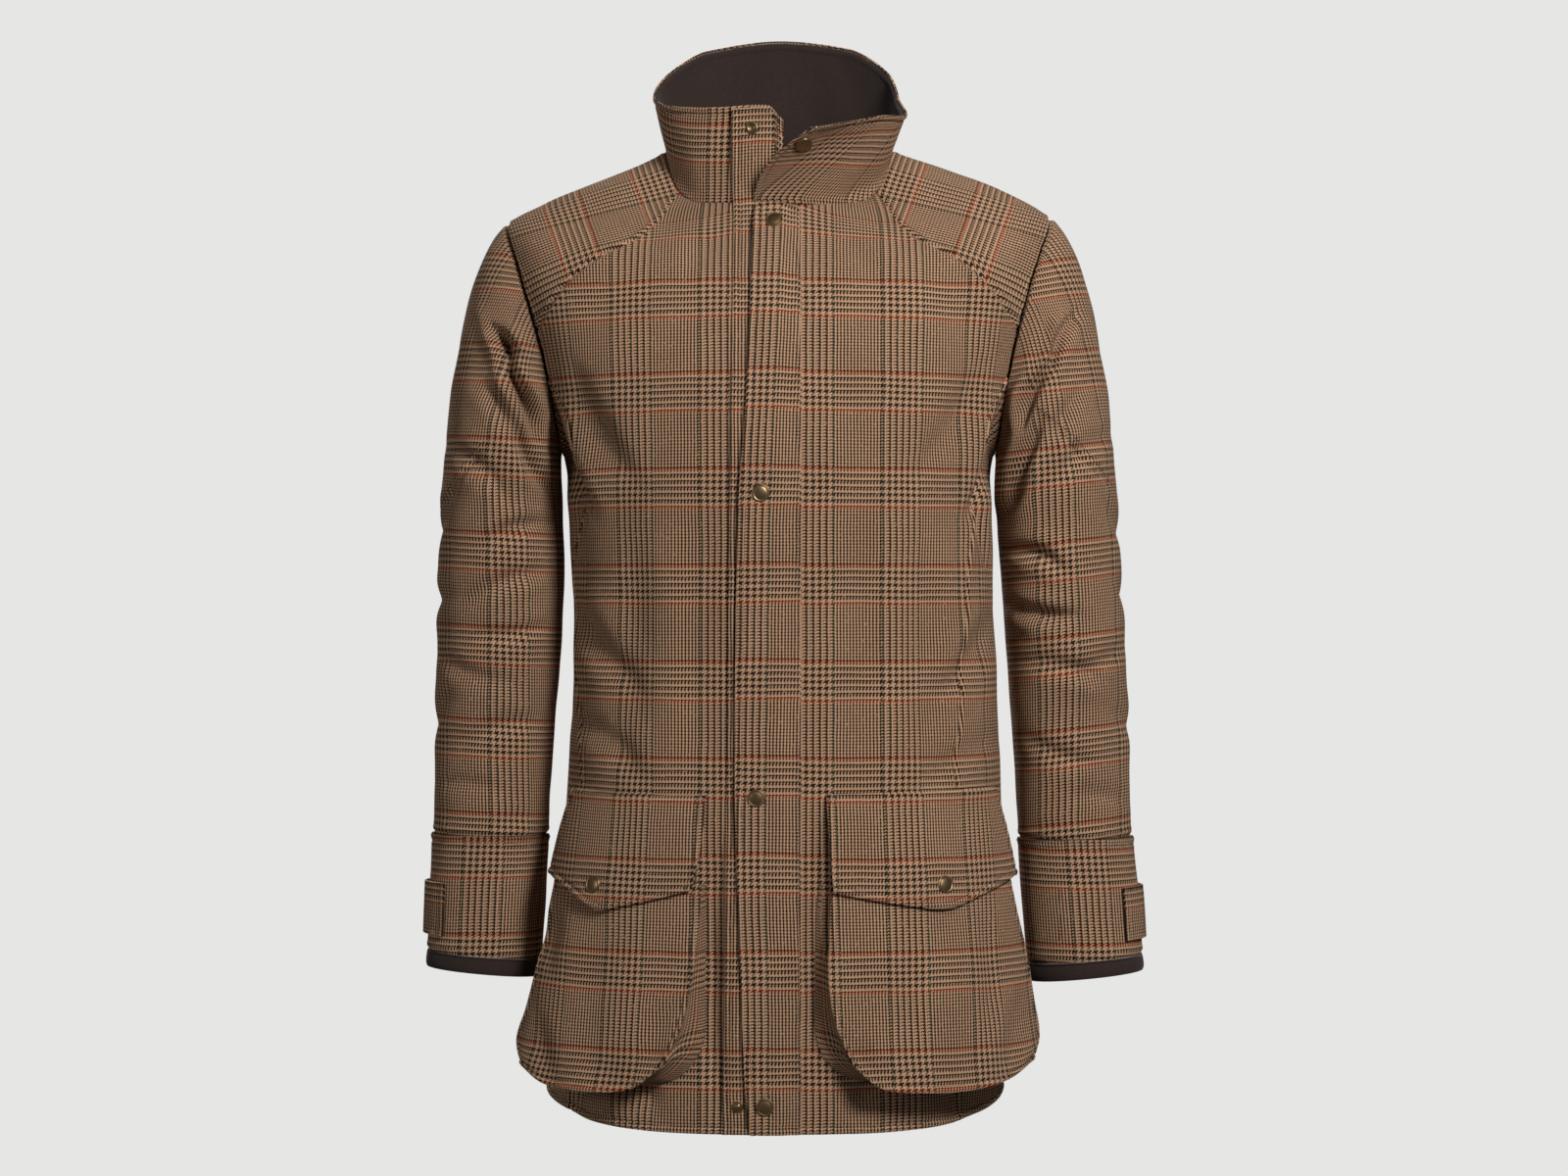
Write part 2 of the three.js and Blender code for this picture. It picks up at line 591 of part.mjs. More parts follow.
function buildYoke(side, lines) {
  const neck = ringPlaces(
    spread(side * YOKE_NECK_FRONT, side * YOKE_NECK_BACK, YOKE_ARC_STEPS),
    NECK_LEVEL,
  );
  const front = [...lines.yokeFront].reverse();
  const back = [...lines.yokeBack].reverse();
  const trims = { first: true, last: true, top: true, bottom: true };
  return bodyPanel(lines.armholeTop, neck, front, back, side * Math.PI / 2, trims);
}

// Back in one piece; the right side runs on past the centre back to the left side.
function buildBack(left, right) {
  const turned = (places) => places
    .map((place) => ({ angle: place.angle + FULL_TURN, level: place.level }));
  const steps = 2 * (YOKE_SEAM_STEPS + BACK_NECK_STEPS);
  const neck = ringPlaces(
    spread(YOKE_NECK_BACK, FULL_TURN - YOKE_NECK_BACK, 2 * BACK_NECK_STEPS),
    NECK_LEVEL,
  );
  const rightTop = [...right.yokeBack].reverse();
  const leftTop = turned(left.yokeBack);
  const top = [...rightTop, ...neck.slice(1), ...leftTop.slice(1)];
  const bottom = ringPlaces(spread(right.rear[0].angle, left.rear[0].angle + FULL_TURN, steps), 0);
  const first = [...right.rear, ...right.armholeBack.slice(1)];
  const last = turned([...left.rear, ...left.armholeBack.slice(1)]);
  return bodyPanel(bottom, top, first, last, Math.PI, { first: true, last: true, top: true });
}

// One point of a sleeve section; turn 0 is the outside of the arm, a quarter turn its front.
function sectionPoint(rows, side, turn, at, step = 0) {
  const section = readRows(rows, SLEEVE_COLUMNS, at);
  const cosine = Math.cos(turn);
  const sine = Math.sin(turn);
  const power = SLEEVE_SQUARE;
  const reach = (Math.abs(sine) ** power + Math.abs(cosine) ** power) ** (-1 / power);
  return new THREE.Vector3(
    section.x + side * (section.wide + step) * reach * cosine,
    section.y - (section.deep + step) * reach * sine,
    section.z + section.tilt * reach * cosine,
  );
}

// Point of the sleeve cap between the armhole (at 0) and the first section (at 1).
function capPoint(rows, side, turn, t) {
  const place = armholePlace(turn, side);
  const cosine = Math.cos(turn);
  const start = new THREE.Vector3(
    side * (CAP_LEAVING.out + CAP_LEAVING.outAtTip * cosine),
    -CAP_LEAVING.forward * Math.sin(turn),
    CAP_LEAVING.downAtTip * cosine - CAP_LEAVING.down,
  ).normalize();
  const away = start.clone().add(bodyNormal(place.angle, place.level)).setLength(SEAM_GAP + EDGE_TRIM);
  const from = bodyPoint(place.angle, place.level).add(away);
  const to = sectionPoint(rows, side, turn, 0);
  const end = sectionPoint(rows, side, turn, 0.1).sub(to).normalize();
  const pull = from.distanceTo(to) * CAP_PULL;
  const t2 = t * t;
  const t3 = t2 * t;
  return from.multiplyScalar(2 * t3 - 3 * t2 + 1)
    .addScaledVector(start, pull * (t3 - 2 * t2 + t))
    .addScaledVector(to, 3 * t2 - 2 * t3)
    .addScaledVector(end, pull * (t3 - t2));
}

// Moves a closed or open grid of points along its own normals.
function shifted(grid, distance, closed = false) {
  const rows = grid.length;
  const columns = grid[0].length;
  const neighbour = (column, step) => {
    if (closed) {
      return (column + step + columns) % columns;
    }
    return clamp(column + step, 0, columns - 1);
  };
  return grid.map((line, row) => line.map((point, column) => {
    const across = line[neighbour(column, 1)].clone().sub(line[neighbour(column, -1)]);
    const above = grid[Math.min(row + 1, rows - 1)][column];
    const below = grid[Math.max(row - 1, 0)][column];
    return point.clone().addScaledVector(across.cross(above.clone().sub(below)).normalize(), distance);
  }));
}

function sleeveTurns(lines) {
  const under = spread(SIDE_FRONT_ANGLE, SIDE_BACK_ANGLE, UNDERARM_STEPS);
  const back = spread(SIDE_BACK_ANGLE, BACK_YOKE_END, BACK_ARMHOLE_ROWS);
  const top = spread(BACK_YOKE_END, FULL_TURN + lines.yokeTurn, YOKE_ARC_STEPS);
  return [...under.slice(0, -1), ...back.slice(0, -1), ...top];
}

// Points a tube inward or outward from its middle line, whichever way its grid winds.
function tubeWall(grid, thickness) {
  const inner = shifted(grid, thickness, true);
  const size = (ring) => ring.reduce((sum, point) => sum + point.distanceTo(ring[0]), 0);
  const last = grid.length - 1;
  const shrunk = size(inner[last]) < size(grid[last]);
  return wall(grid, shrunk ? inner : shifted(grid, -thickness, true), true);
}

function buildSleeve(rows, side, lines) {
  const turns = sleeveTurns(lines);
  const capRows = spread(0, 1, CAP_STEPS).map((t) => turns.map((turn) => capPoint(rows, side, turn, t)));
  const armRows = spread(0, CUFF.section, 2 * CUFF.section - 2).slice(1)
    .map((at) => turns.map((turn) => sectionPoint(rows, side, turn, at)));
  return tubeWall([...capRows, ...armRows], CLOTH);
}

// Ring of cloth at the end of a sleeve between two of its sections, standing out by a step.
function buildTube(rows, side, lines, levels, step, cloth) {
  const turns = sleeveTurns(lines);
  const grid = levels.map((at) => turns.map((turn) => sectionPoint(rows, side, turn, at, step)));
  return tubeWall(grid, cloth);
}

// Narrow tab that stands a little off the outside of the cuff.
function buildTab(rows, side) {
  const point = (turn, at, rise) => sectionPoint(rows, side, turn, at, CUFF.step + rise);
  const turns = spread(TAB.from, TAB.to, TAB.steps);
  const stand = (turn) => SEAM_GAP + TAB.stand * smooth(1 - Math.abs(turn) / TAB.middle);
  const levels = spread(TAB.top, TAB.bottom, 2);
  const outer = levels.map((at) => turns.map((turn) => point(turn, at, stand(turn) + CLOTH)));
  const inner = levels.map((at) => turns.map((turn) => point(turn, at, stand(turn))));
  return wall(outer, inner);
}

// Bearings of the collar; they repeat the steps of the neck edge so the seam gap stays even.
function collarBearings() {
  const front = spread(0, YOKE_NECK_FRONT, FRONT_NECK_STEPS);
  const yoke = spread(YOKE_NECK_FRONT, YOKE_NECK_BACK, YOKE_ARC_STEPS);
  const back = spread(YOKE_NECK_BACK, Math.PI, BACK_NECK_STEPS);
  const half = [...front, ...yoke.slice(1), ...back.slice(1)].map((angle) => -angle / DEG);
  const other = half.slice(0, -1).reverse().map((bearing) => -360 - bearing);
  return [COLLAR[0].bearing, ...half, ...other, COLLAR[COLLAR.length - 1].bearing];
}

// Point of the collar's outer face; height runs from 0 at the neck seam to 1 at the upper edge.
function collarPoint(bearing, height, inward = 0) {
  const read = (name) => readCurve(COLLAR, 'bearing', bearing, name);
  const outward = (angle) => {
    const ahead = bodyPoint(angle + 0.01, NECK_LEVEL).sub(bodyPoint(angle - 0.01, NECK_LEVEL));
    return new THREE.Vector3(ahead.y, -ahead.x, 0).normalize();
  };
  const footAngle = bearing * DEG;
  const topAngle = (bearing + read('swing')) * DEG;
  const foot = bodyPoint(footAngle, NECK_LEVEL);
  const top = bodyPoint(topAngle, NECK_LEVEL);
  foot.addScaledVector(outward(footAngle), read('step') - inward);
  top.addScaledVector(outward(topAngle), read('step') - inward);
  const lean = read('lean') * height ** COLLAR_ROLL + COLLAR_SWELL * Math.sin(Math.PI * height);
  const point = foot.clone().lerp(top, height);
  point.addScaledVector(outward(mix(footAngle, topAngle, height)), lean);
  point.z = mix(foot.z + SEAM_GAP, read('top'), height);
  return point;
}

function buildCollar(bearings, inset, cloth, top) {
  const heights = spread(0, top, COLLAR_ROWS);
  const outer = heights.map((height) => bearings.map((bearing) => collarPoint(bearing, height)));
  const placed = inset > 0 ? shifted(outer, inset) : outer;
  return wall(placed, shifted(outer, inset + cloth));
}

// Place and outward direction on the collar's outer face.
function collarSeat(bearing, height, lift) {
  const base = collarPoint(bearing, height, -lift);
  const across = collarPoint(bearing - 0.5, height).sub(collarPoint(bearing + 0.5, height));
  const up = collarPoint(bearing, height + 0.01).sub(collarPoint(bearing, height - 0.01));
  return { base, normal: up.cross(across).normalize() };
}

// Angle of the front of the body that is seen at x on one level.
function angleSeenAt(x, level) {
  let low = -40 * DEG;
  let high = 40 * DEG;
  for (let step = 0; step < SEARCH.turns; step += 1) {
    const middle = (low + high) / 2;
    if (bodyPoint(middle, level).x < x) {
      low = middle;
    } else {
      high = middle;
    }
  }
  return (low + high) / 2;
}

// The covering flap lies over the strip and is let down to the right front beside it.
function flapLift(x) {
  const overStrip = STRIP.lift + STRIP_CLOTH + FLAP.step;
  return mix(overStrip, STRIP.lift, smooth((x - FLAP.edge) / FLAP.letDown));
}

// Levels of the grid rows of the front edge, up to the end of a piece laid on it.
function frontLevels(reach) {
  return [...spread(0, NECK_LEVEL, FRONT_ROWS).slice(0, -1), reach];
}

function frontEdge(name, level) {
  return readCurve(FRONT_EDGES, 'z', bodyPoint(0, level).z, name);
}

function buildFlap() {
  const sheet = (cloth) => frontLevels(FLAP.reach)
    .map((level) => spread(frontEdge('flap', level), FLAP.right, FLAP.steps)
      .map((x) => aboveBody(angleSeenAt(x, level), level, flapLift(x) + cloth)));
  return wall(sheet(CLOTH), sheet(0));
}

// Strip on the left front that carries the lower half of the snaps up to the top of the collar.
function buildStrip() {
  const widthsAt = (level) => spread(frontEdge('strip', level), STRIP.right, STRIP.steps);
  const bearingAt = (x) => angleSeenAt(x, NECK_LEVEL) / DEG;
  const sheet = (lift) => {
    const bodyRows = frontLevels(STRIP.reach)
      .map((level) => widthsAt(level).map((x) => aboveBody(angleSeenAt(x, level), level, lift)));
    const collarRows = spread(STRIP_ON_COLLAR.bottom, STRIP_ON_COLLAR.top, STRIP_ON_COLLAR.steps)
      .map((height) => widthsAt(NECK_LEVEL).map((x) => collarPoint(bearingAt(x), height, -lift)));
    return [...bodyRows, ...collarRows];
  };
  return wall(sheet(STRIP.lift + STRIP_CLOTH), sheet(STRIP.lift));
}

// How far the hanging face stands off the body; share runs from its inner to its outer edge.
function pocketLift(share, z) {
  const down = clamp((POCKET_MOUTH_Z - z) / POCKET_DROP, 0, 1);
  const inner = POCKET_SWELL.inner * down ** POCKET_SWELL.power;
  const outer = POCKET_SWELL.outer * down;
  return POCKET_LIFT + mix(inner, outer, share * share);
}

function pocketFlapLift(share, z) {
  const hug = POCKET_FLAP.rise * smooth((POCKET_FLAP.hugZ - z) / POCKET_FLAP.hugDepth);
  return POCKET_FLAP.lift + hug + pocketLift(Math.min(1, share * FLAP_OVERHANG), z) - POCKET_LIFT;
}

// Turns a line seen from the front into evenly spread points of that view.
function viewLine(line, steps) {
  return resample(line.map(([x, z]) => new THREE.Vector3(x, z, 0)), steps);
}

// Sheet over the body from a grid of front-view points: its places and its heights.
function liftedSheet(view, liftAt) {
  return view.map((row) => row.map((point, column) => {
    const lift = liftAt(column / (row.length - 1), point.y);
    return { ...findOnBody(point.x, point.y, lift), lift };
  }));
}

function sheetPoints(sheet, drop) {
  return sheet.map((row) => row.map((spot) => aboveBody(spot.angle, spot.level, spot.lift - drop)));
}

function pocketFaceSheet(pocket) {
  const top = viewLine([pocket.inner[0], pocket.outer[0]], POCKET_FACE.across);
  const bottom = viewLine(pocket.bottom, POCKET_FACE.across);
  const inner = viewLine(pocket.inner, POCKET_FACE.down);
  const outer = viewLine(pocket.outer, POCKET_FACE.down);
  return liftedSheet(fillEdges(top, bottom, inner, outer), pocketLift);
}

function pocketFlapSheet(pocket) {
  const top = viewLine(pocket.flap.top, POCKET_FLAP.across);
  const bottom = viewLine(pocket.flap.bottom, POCKET_FLAP.across);
  const inner = viewLine(pocket.flap.inner, POCKET_FLAP.down);
  const outer = viewLine(pocket.flap.outer, POCKET_FLAP.down);
  return liftedSheet(fillEdges(top, bottom, inner, outer), pocketFlapLift);
}

// Spots round the open side of the face with the spot just inside each of them.
function faceRim(sheet) {
  const bottom = sheet.length - 1;
  const last = sheet[0].length - 1;
  const rim = [];
  for (let row = GUSSET.start; row < bottom; row += 1) {
    rim.push([sheet[row][0], sheet[row][1]]);
  }
  for (let column = 0; column <= last; column += 1) {
    rim.push([sheet[bottom][column], sheet[bottom - 1][clamp(column, 1, last - 1)]]);
  }
  for (let row = bottom - 1; row >= GUSSET.start; row -= 1) {
    rim.push([sheet[row][last], sheet[row][last - 1]]);
  }
  return rim;
}

// Gusset between the hanging face and the body, open at the top of the pocket.
function buildGusset(pocket, sheet) {
  const under = (spot) => aboveBody(spot.angle, spot.level, spot.lift - CLOTH - SEAM_GAP);
  const rim = faceRim(sheet);
  const feet = viewLine(pocket.foot, rim.length - 1);
  const strip = (inset) => {
    const tops = rim.map(([spot, inside]) => {
      const edge = under(spot);
      const toward = under(inside).sub(edge);
      return edge.addScaledVector(toward.normalize(), inset + GUSSET.inset);
    });
    const bases = feet.map((point, index) => {
      const before = feet[Math.max(index - 1, 0)];
      const after = feet[Math.min(index + 1, feet.length - 1)];
      const along = after.clone().sub(before).normalize();
      const inward = new THREE.Vector3(-along.y, along.x, 0);
      const centre = new THREE.Vector3(Math.sign(point.x) * GUSSET.middleX, GUSSET.middleZ, 0);
      const way = inward.dot(centre.sub(point)) > 0 ? 1 : -1;
      const moved = point.clone().addScaledVector(inward, way * inset);
      const spot = findOnBody(moved.x, moved.y, GUSSET.footGap);
      return aboveBody(spot.angle, spot.level, GUSSET.footGap);
    });
    return spread(0, 1, GUSSET.across)
      .map((share) => bases.map((base, index) => base.clone().lerp(tops[index], share)));
  };
  return wall(strip(0), strip(GUSSET.cloth));
}

// Round metal part turned about the normal of the place where it sits.
function buildRound(base, normal, profile, height) {
  const sideways = new THREE.Vector3(1, 0, 0).cross(normal).normalize();
  const upward = normal.clone().cross(sideways).normalize();
  const at = (radius, turn, rise) => base.clone()
    .addScaledVector(sideways, radius * Math.cos(turn))
    .addScaledVector(upward, radius * Math.sin(turn))
    .addScaledVector(normal, METAL_SEAT + rise);
  const positions = [];
  const triangles = [];
  const put = (point) => positions.push(point.x, point.y, point.z);
  put(at(0, 0, 0));
  put(at(0, 0, height));
  profile.forEach(([radius, rise]) => {
    for (let index = 0; index < METAL_SIDES; index += 1) {
      put(at(radius, (FULL_TURN * index) / METAL_SIDES, rise));
    }
  });
  const ring = (row, index) => 2 + row * METAL_SIDES + (index % METAL_SIDES);
  const last = profile.length - 1;
  for (let index = 0; index < METAL_SIDES; index += 1) {
    triangles.push(0, ring(0, index + 1), ring(0, index));
    triangles.push(1, ring(last, index), ring(last, index + 1));
    for (let row = 0; row < last; row += 1) {
      triangles.push(ring(row, index), ring(row, index + 1), ring(row + 1, index + 1));
      triangles.push(ring(row, index), ring(row + 1, index + 1), ring(row + 1, index));
    }
  }
  return orient(positions, triangles);
}

const leftLines = sideLines(-1);
const rightLines = sideLines(1);
addPiece('front_left', buildFront(-1, leftLines), tweed);
addPiece('front_right', buildFront(1, rightLines), tweed);
addPiece('side_left', buildSide(-1, leftLines), tweed);
addPiece('side_right', buildSide(1, rightLines), tweed);
addPiece('back', buildBack(leftLines, rightLines), tweed);
addPiece('yoke_left', buildYoke(-1, leftLines), tweed);
addPiece('yoke_right', buildYoke(1, rightLines), tweed);

[
  { name: 'left', side: -1, rows: LEFT_SLEEVE, lines: leftLines, pocket: LEFT_POCKET },
  { name: 'right', side: 1, rows: RIGHT_SLEEVE, lines: rightLines, pocket: RIGHT_POCKET },
].forEach(({ name, side, rows, lines, pocket }) => {
  const cuffLevels = spread(CUFF.section + SECTION_GAP / 2, BINDING.section - SECTION_GAP, CUFF.rows);
  const bindingLevels = [BINDING.section, BINDING.section + BINDING.reach];
  addPiece(`sleeve_${name}`, buildSleeve(rows, side, lines), tweed);
  addPiece(`cuff_${name}`, buildTube(rows, side, lines, cuffLevels, CUFF.step, CLOTH), tweed);
  addPiece(
    `cuff_binding_${name}`,
    buildTube(rows, side, lines, bindingLevels, BINDING.step, BINDING.cloth),
    moleskin,
  );
  addPiece(`cuff_tab_${name}`, buildTab(rows, side), tweed);
  const face = pocketFaceSheet(pocket);
  const flap = pocketFlapSheet(pocket);
  addPiece(`pocket_face_${name}`, wall(sheetPoints(face, 0), sheetPoints(face, CLOTH)), tweed);
  addPiece(`pocket_gusset_${name}`, buildGusset(pocket, face), tweed);
  addPiece(
    `pocket_flap_${name}`,
    wall(sheetPoints(flap, 0), sheetPoints(flap, POCKET_FLAP.cloth)),
    tweed,
  );
  const lift = pocketFlapLift(pocket.snap.share, pocket.snap.z) + FLAP_SEAT;
  const place = findOnBody(pocket.snap.x, pocket.snap.z, lift);
  const base = aboveBody(place.angle, place.level, lift);
  const normal = bodyNormal(place.angle, place.level);
  addPiece(`snap_cap_pocket_${name}`, buildRound(base, normal, CAP_PROFILE, CAP_HEIGHT), brass);
});

const bearings = collarBearings();
addPiece('collar', buildCollar(bearings, 0, COLLAR_CLOTH, 1), tweed);
addPiece(
  'collar_lining',
  buildCollar(bearings, COLLAR_CLOTH + SEAM_GAP, LINING_CLOTH, LINING_TOP),
  moleskin,
);
addPiece('storm_flap', buildFlap(), tweed);
addPiece('snap_strip', buildStrip(), tweed);

FLAP_CAPS.forEach(({ name, x, z }) => {
  const lift = flapLift(x) + CLOTH;
  const place = findOnBody(x, z, lift);
  const base = aboveBody(place.angle, place.level, lift);
  addPiece(name, buildRound(base, bodyNormal(place.angle, place.level), CAP_PROFILE, CAP_HEIGHT), brass);
});

const studLift = STRIP.lift + STRIP_CLOTH;
const studSpot = findOnBody(STUD_PLACE.x, STUD_PLACE.z, studLift);
addPiece('snap_stud_hem', buildRound(
  aboveBody(studSpot.angle, studSpot.level, studLift),
  bodyNormal(studSpot.angle, studSpot.level),
  STUD_PROFILE,
  STUD_HEIGHT,
), brass);

const socket = collarSeat(COLLAR_SOCKET.bearing, COLLAR_SOCKET.height, STRIP.lift + STRIP_CLOTH);
addPiece('snap_socket_collar', buildRound(socket.base, socket.normal, SOCKET_PROFILE, SOCKET_HEIGHT), brass);
const collarCap = collarSeat(COLLAR_CAP.bearing, COLLAR_CAP.height, COLLAR_CAP.seat);
addPiece('snap_cap_collar', buildRound(collarCap.base, collarCap.normal, CAP_PROFILE, CAP_HEIGHT), brass);

export default group;
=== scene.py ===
import logging
import math
from dataclasses import dataclass, field
from enum import Enum
from typing import Callable, Iterator, Optional, Sequence

import bpy
import numpy as np
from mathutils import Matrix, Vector


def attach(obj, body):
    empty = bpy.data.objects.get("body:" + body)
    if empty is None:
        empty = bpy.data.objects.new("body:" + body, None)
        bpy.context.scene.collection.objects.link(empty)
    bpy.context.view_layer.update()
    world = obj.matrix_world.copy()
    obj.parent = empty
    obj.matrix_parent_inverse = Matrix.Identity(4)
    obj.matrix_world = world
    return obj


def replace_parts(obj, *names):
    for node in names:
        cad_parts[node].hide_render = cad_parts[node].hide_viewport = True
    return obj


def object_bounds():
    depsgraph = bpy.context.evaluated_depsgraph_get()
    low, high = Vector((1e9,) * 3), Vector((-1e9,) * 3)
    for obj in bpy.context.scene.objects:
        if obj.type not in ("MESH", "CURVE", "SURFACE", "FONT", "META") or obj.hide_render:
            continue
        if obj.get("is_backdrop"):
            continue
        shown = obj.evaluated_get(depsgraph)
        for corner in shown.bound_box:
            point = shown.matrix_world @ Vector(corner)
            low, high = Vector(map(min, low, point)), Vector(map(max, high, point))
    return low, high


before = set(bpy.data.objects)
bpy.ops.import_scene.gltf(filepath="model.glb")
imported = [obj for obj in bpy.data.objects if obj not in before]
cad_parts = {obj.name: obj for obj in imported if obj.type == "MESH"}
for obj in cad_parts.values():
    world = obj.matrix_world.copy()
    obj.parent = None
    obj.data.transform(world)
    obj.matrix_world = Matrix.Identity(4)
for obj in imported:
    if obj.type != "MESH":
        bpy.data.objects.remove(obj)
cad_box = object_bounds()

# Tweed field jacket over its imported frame. Lengths are millimetres, as a cutter writes them,
# and become metres when a mesh is made. +Z is up, the front faces -Y, left and right are the viewer's.

log = logging.getLogger("jacket")
MM = 0.001
DEG = math.pi / 180
FULL_TURN = 2 * math.pi
CLOTH = 2.0
SEAM_GAP = 0.3
HEM_STITCH = 6.2
BODY = "root"

Numbers = float | np.ndarray
Pair = tuple[np.ndarray, np.ndarray]


class Side(Enum):
    """Side of the jacket as the viewer sees it; the value is the sign of X."""

    LEFT = -1
    RIGHT = 1

    @property
    def word(self) -> str:
        """Ending of the names of this side's pieces."""
        return self.name.lower()


class Facing(Enum):
    """Side from which a fold is drawn."""

    FRONT = "front"
    BACK = "back"
    OUTSIDE = "outside"


class Edge(Enum):
    """How an edge of a cloth panel is finished."""

    SEAM = "seam"
    FOLDED = "folded"
    PLAIN = "plain"


def mix(a: Numbers, b: Numbers, t: Numbers) -> Numbers:
    """Value a share t of the way from a to b."""
    return a + (b - a) * t


def smooth(t: Numbers) -> Numbers:
    """Soft step from 0 to 1."""
    u = np.clip(t, 0.0, 1.0)
    return u * u * (3 - 2 * u)


def unit(vectors: np.ndarray) -> np.ndarray:
    """Vectors along the last axis at length 1."""
    return vectors / np.maximum(np.linalg.norm(vectors, axis=-1, keepdims=True), 1e-9)


def read_curve(table: Sequence[Sequence[float]], at: Numbers, column: int) -> np.ndarray:
    """Reads one column of a keyed table with a smooth curve through its rows.

    Args:
        table: Rows whose first number is the key, rising or falling.
        at: One key or an array of keys.
        column: Which number of the row is read.

    Returns:
        The numbers at those keys.
    """
    rows = np.array(table, dtype=float)
    if rows[0, 0] > rows[-1, 0]:
        rows = rows[::-1]
    keys, values = rows[:, 0], rows[:, column]
    at = np.clip(np.asarray(at, dtype=float), keys[0], keys[-1])
    i = np.clip(np.searchsorted(keys, at, side="right") - 1, 0, len(keys) - 2)
    t = (at - keys[i]) / (keys[i + 1] - keys[i])
    padded = np.concatenate([values[:1], values, values[-1:]])
    a, b, c, d = (padded[i + k] for k in range(4))
    return catmull(a, b, c, d, t)


def catmull(a: np.ndarray, b: np.ndarray, c: np.ndarray, d: np.ndarray, t: np.ndarray) -> np.ndarray:
    """Smooth curve through four numbers, between the middle two."""
    return 0.5 * (
        2 * b
        + (c - a) * t
        + (2 * a - 5 * b + 4 * c - d) * t**2
        + (3 * b - a - 3 * c + d) * t**3
    )


def read_rows(table: Sequence[Sequence[float]], at: Numbers) -> list[np.ndarray]:
    """All columns of a table at a row number between its rows, on a smooth curve."""
    rows = np.array(table, dtype=float)
    padded = np.concatenate([[2 * rows[0] - rows[1]], rows, [2 * rows[-1] - rows[-2]]])
    at = np.asarray(at, dtype=float)
    i = np.clip(np.floor(at).astype(int), 0, len(rows) - 2)
    values = catmull(padded[i], padded[i + 1], padded[i + 2], padded[i + 3], (at - i)[..., None])
    return [values[..., k] for k in range(values.shape[-1])]


def line_through(points: Sequence[Sequence[float]], shares: np.ndarray) -> np.ndarray:
    """Spots on a smooth line through some points.

    Args:
        points: The points, in any number of dimensions.
        shares: Shares of the line's length, 0 to 1.

    Returns:
        One spot for each share.
    """
    fixed = np.array(points, dtype=float)
    steps = np.sqrt(np.linalg.norm(np.diff(fixed, axis=0), axis=1))
    knots = np.concatenate([[0.0], np.cumsum(steps)])
    slopes = np.gradient(fixed, knots, axis=0)
    fine = np.linspace(0, knots[-1], 400)
    i = np.clip(np.searchsorted(knots, fine, side="right") - 1, 0, len(knots) - 2)
    width = (knots[i + 1] - knots[i])[:, None]
    t = ((fine - knots[i]) / width[:, 0])[:, None]
    curve = (
        fixed[i] * (2 * t**3 - 3 * t**2 + 1)
        + slopes[i] * width * (t**3 - 2 * t**2 + t)
        + fixed[i + 1] * (3 * t**2 - 2 * t**3)
        + slopes[i + 1] * width * (t**3 - t**2)
    )
    lengths = np.concatenate([[0.0], np.cumsum(np.linalg.norm(np.diff(curve, axis=0), axis=1))])
    wanted = np.asarray(shares) * lengths[-1]
    return np.stack([np.interp(wanted, lengths, curve[:, k]) for k in range(curve.shape[1])], axis=1)


def graded(length: float, coarse: float, margins: tuple[bool, bool] = (True, True)) -> np.ndarray:
    """Shares of a length, close together at finished edges and wide apart between.

    Args:
        length: Length of the side in millimetres.
        coarse: Spacing in the middle.
        margins: Whether the first and the last end are finished edges.

    Returns:
        Rising shares from 0 to 1.
    """
    fine = [0.0, 0.8, 1.7, 2.8, 4.0, 5.0, 5.8, 6.6, 7.6, 9.2, 11.2]
    start = fine if margins[0] else [0.0]
    end = [length - x for x in reversed(fine)] if margins[1] else [length]
    steps = max(2, int(round((end[0] - start[-1]) / coarse)))
    middle = np.linspace(start[-1], end[0], steps + 1)[1:-1]
    return np.concatenate([start, middle, end]) / length


def fill_at(sides: Sequence[np.ndarray], u: np.ndarray, v: np.ndarray) -> np.ndarray:
    """Fills the bottom, top, first and last line, whose spots stand at the shares u and v."""
    bottom, top, first, last = sides
    u, v = u[None, :, None], v[:, None, None]
    across = first[:, None] * (1 - u) + last[:, None] * u
    along = bottom[None] * (1 - v) + top[None] * v
    corners = (bottom[0] * (1 - u) + bottom[-1] * u) * (1 - v) + (top[0] * (1 - u) + top[-1] * u) * v
    return across + along - corners


def relaxed(grid: np.ndarray, u: np.ndarray, v: np.ndarray, rounds: int) -> np.ndarray:
    """Evens out the inside of a filled grid so that no cell of it folds over.

    Args:
        grid: Filled places, rows by columns by 2.
        u: Shares of the columns.
        v: Shares of the rows.
        rounds: How many times every place moves to the middle of its neighbours.

    Returns:
        The grid with the same border.
    """
    left, right = 1 / np.diff(u)[:-1], 1 / np.diff(u)[1:]
    low, high = 1 / np.diff(v)[:-1], 1 / np.diff(v)[1:]
    span_u, span_v = u[2:] - u[:-2], v[2:] - v[:-2]
    west, east = (left / span_u)[None, :, None], (right / span_u)[None, :, None]
    south, north = (low / span_v)[:, None, None], (high / span_v)[:, None, None]
    total = west + east + south + north
    grid = grid.copy()
    for _ in range(rounds):
        inside = (
            grid[1:-1, :-2] * west + grid[1:-1, 2:] * east + grid[:-2, 1:-1] * south + grid[2:, 1:-1] * north
        ) / total
        grid[1:-1, 1:-1] = inside
    return grid


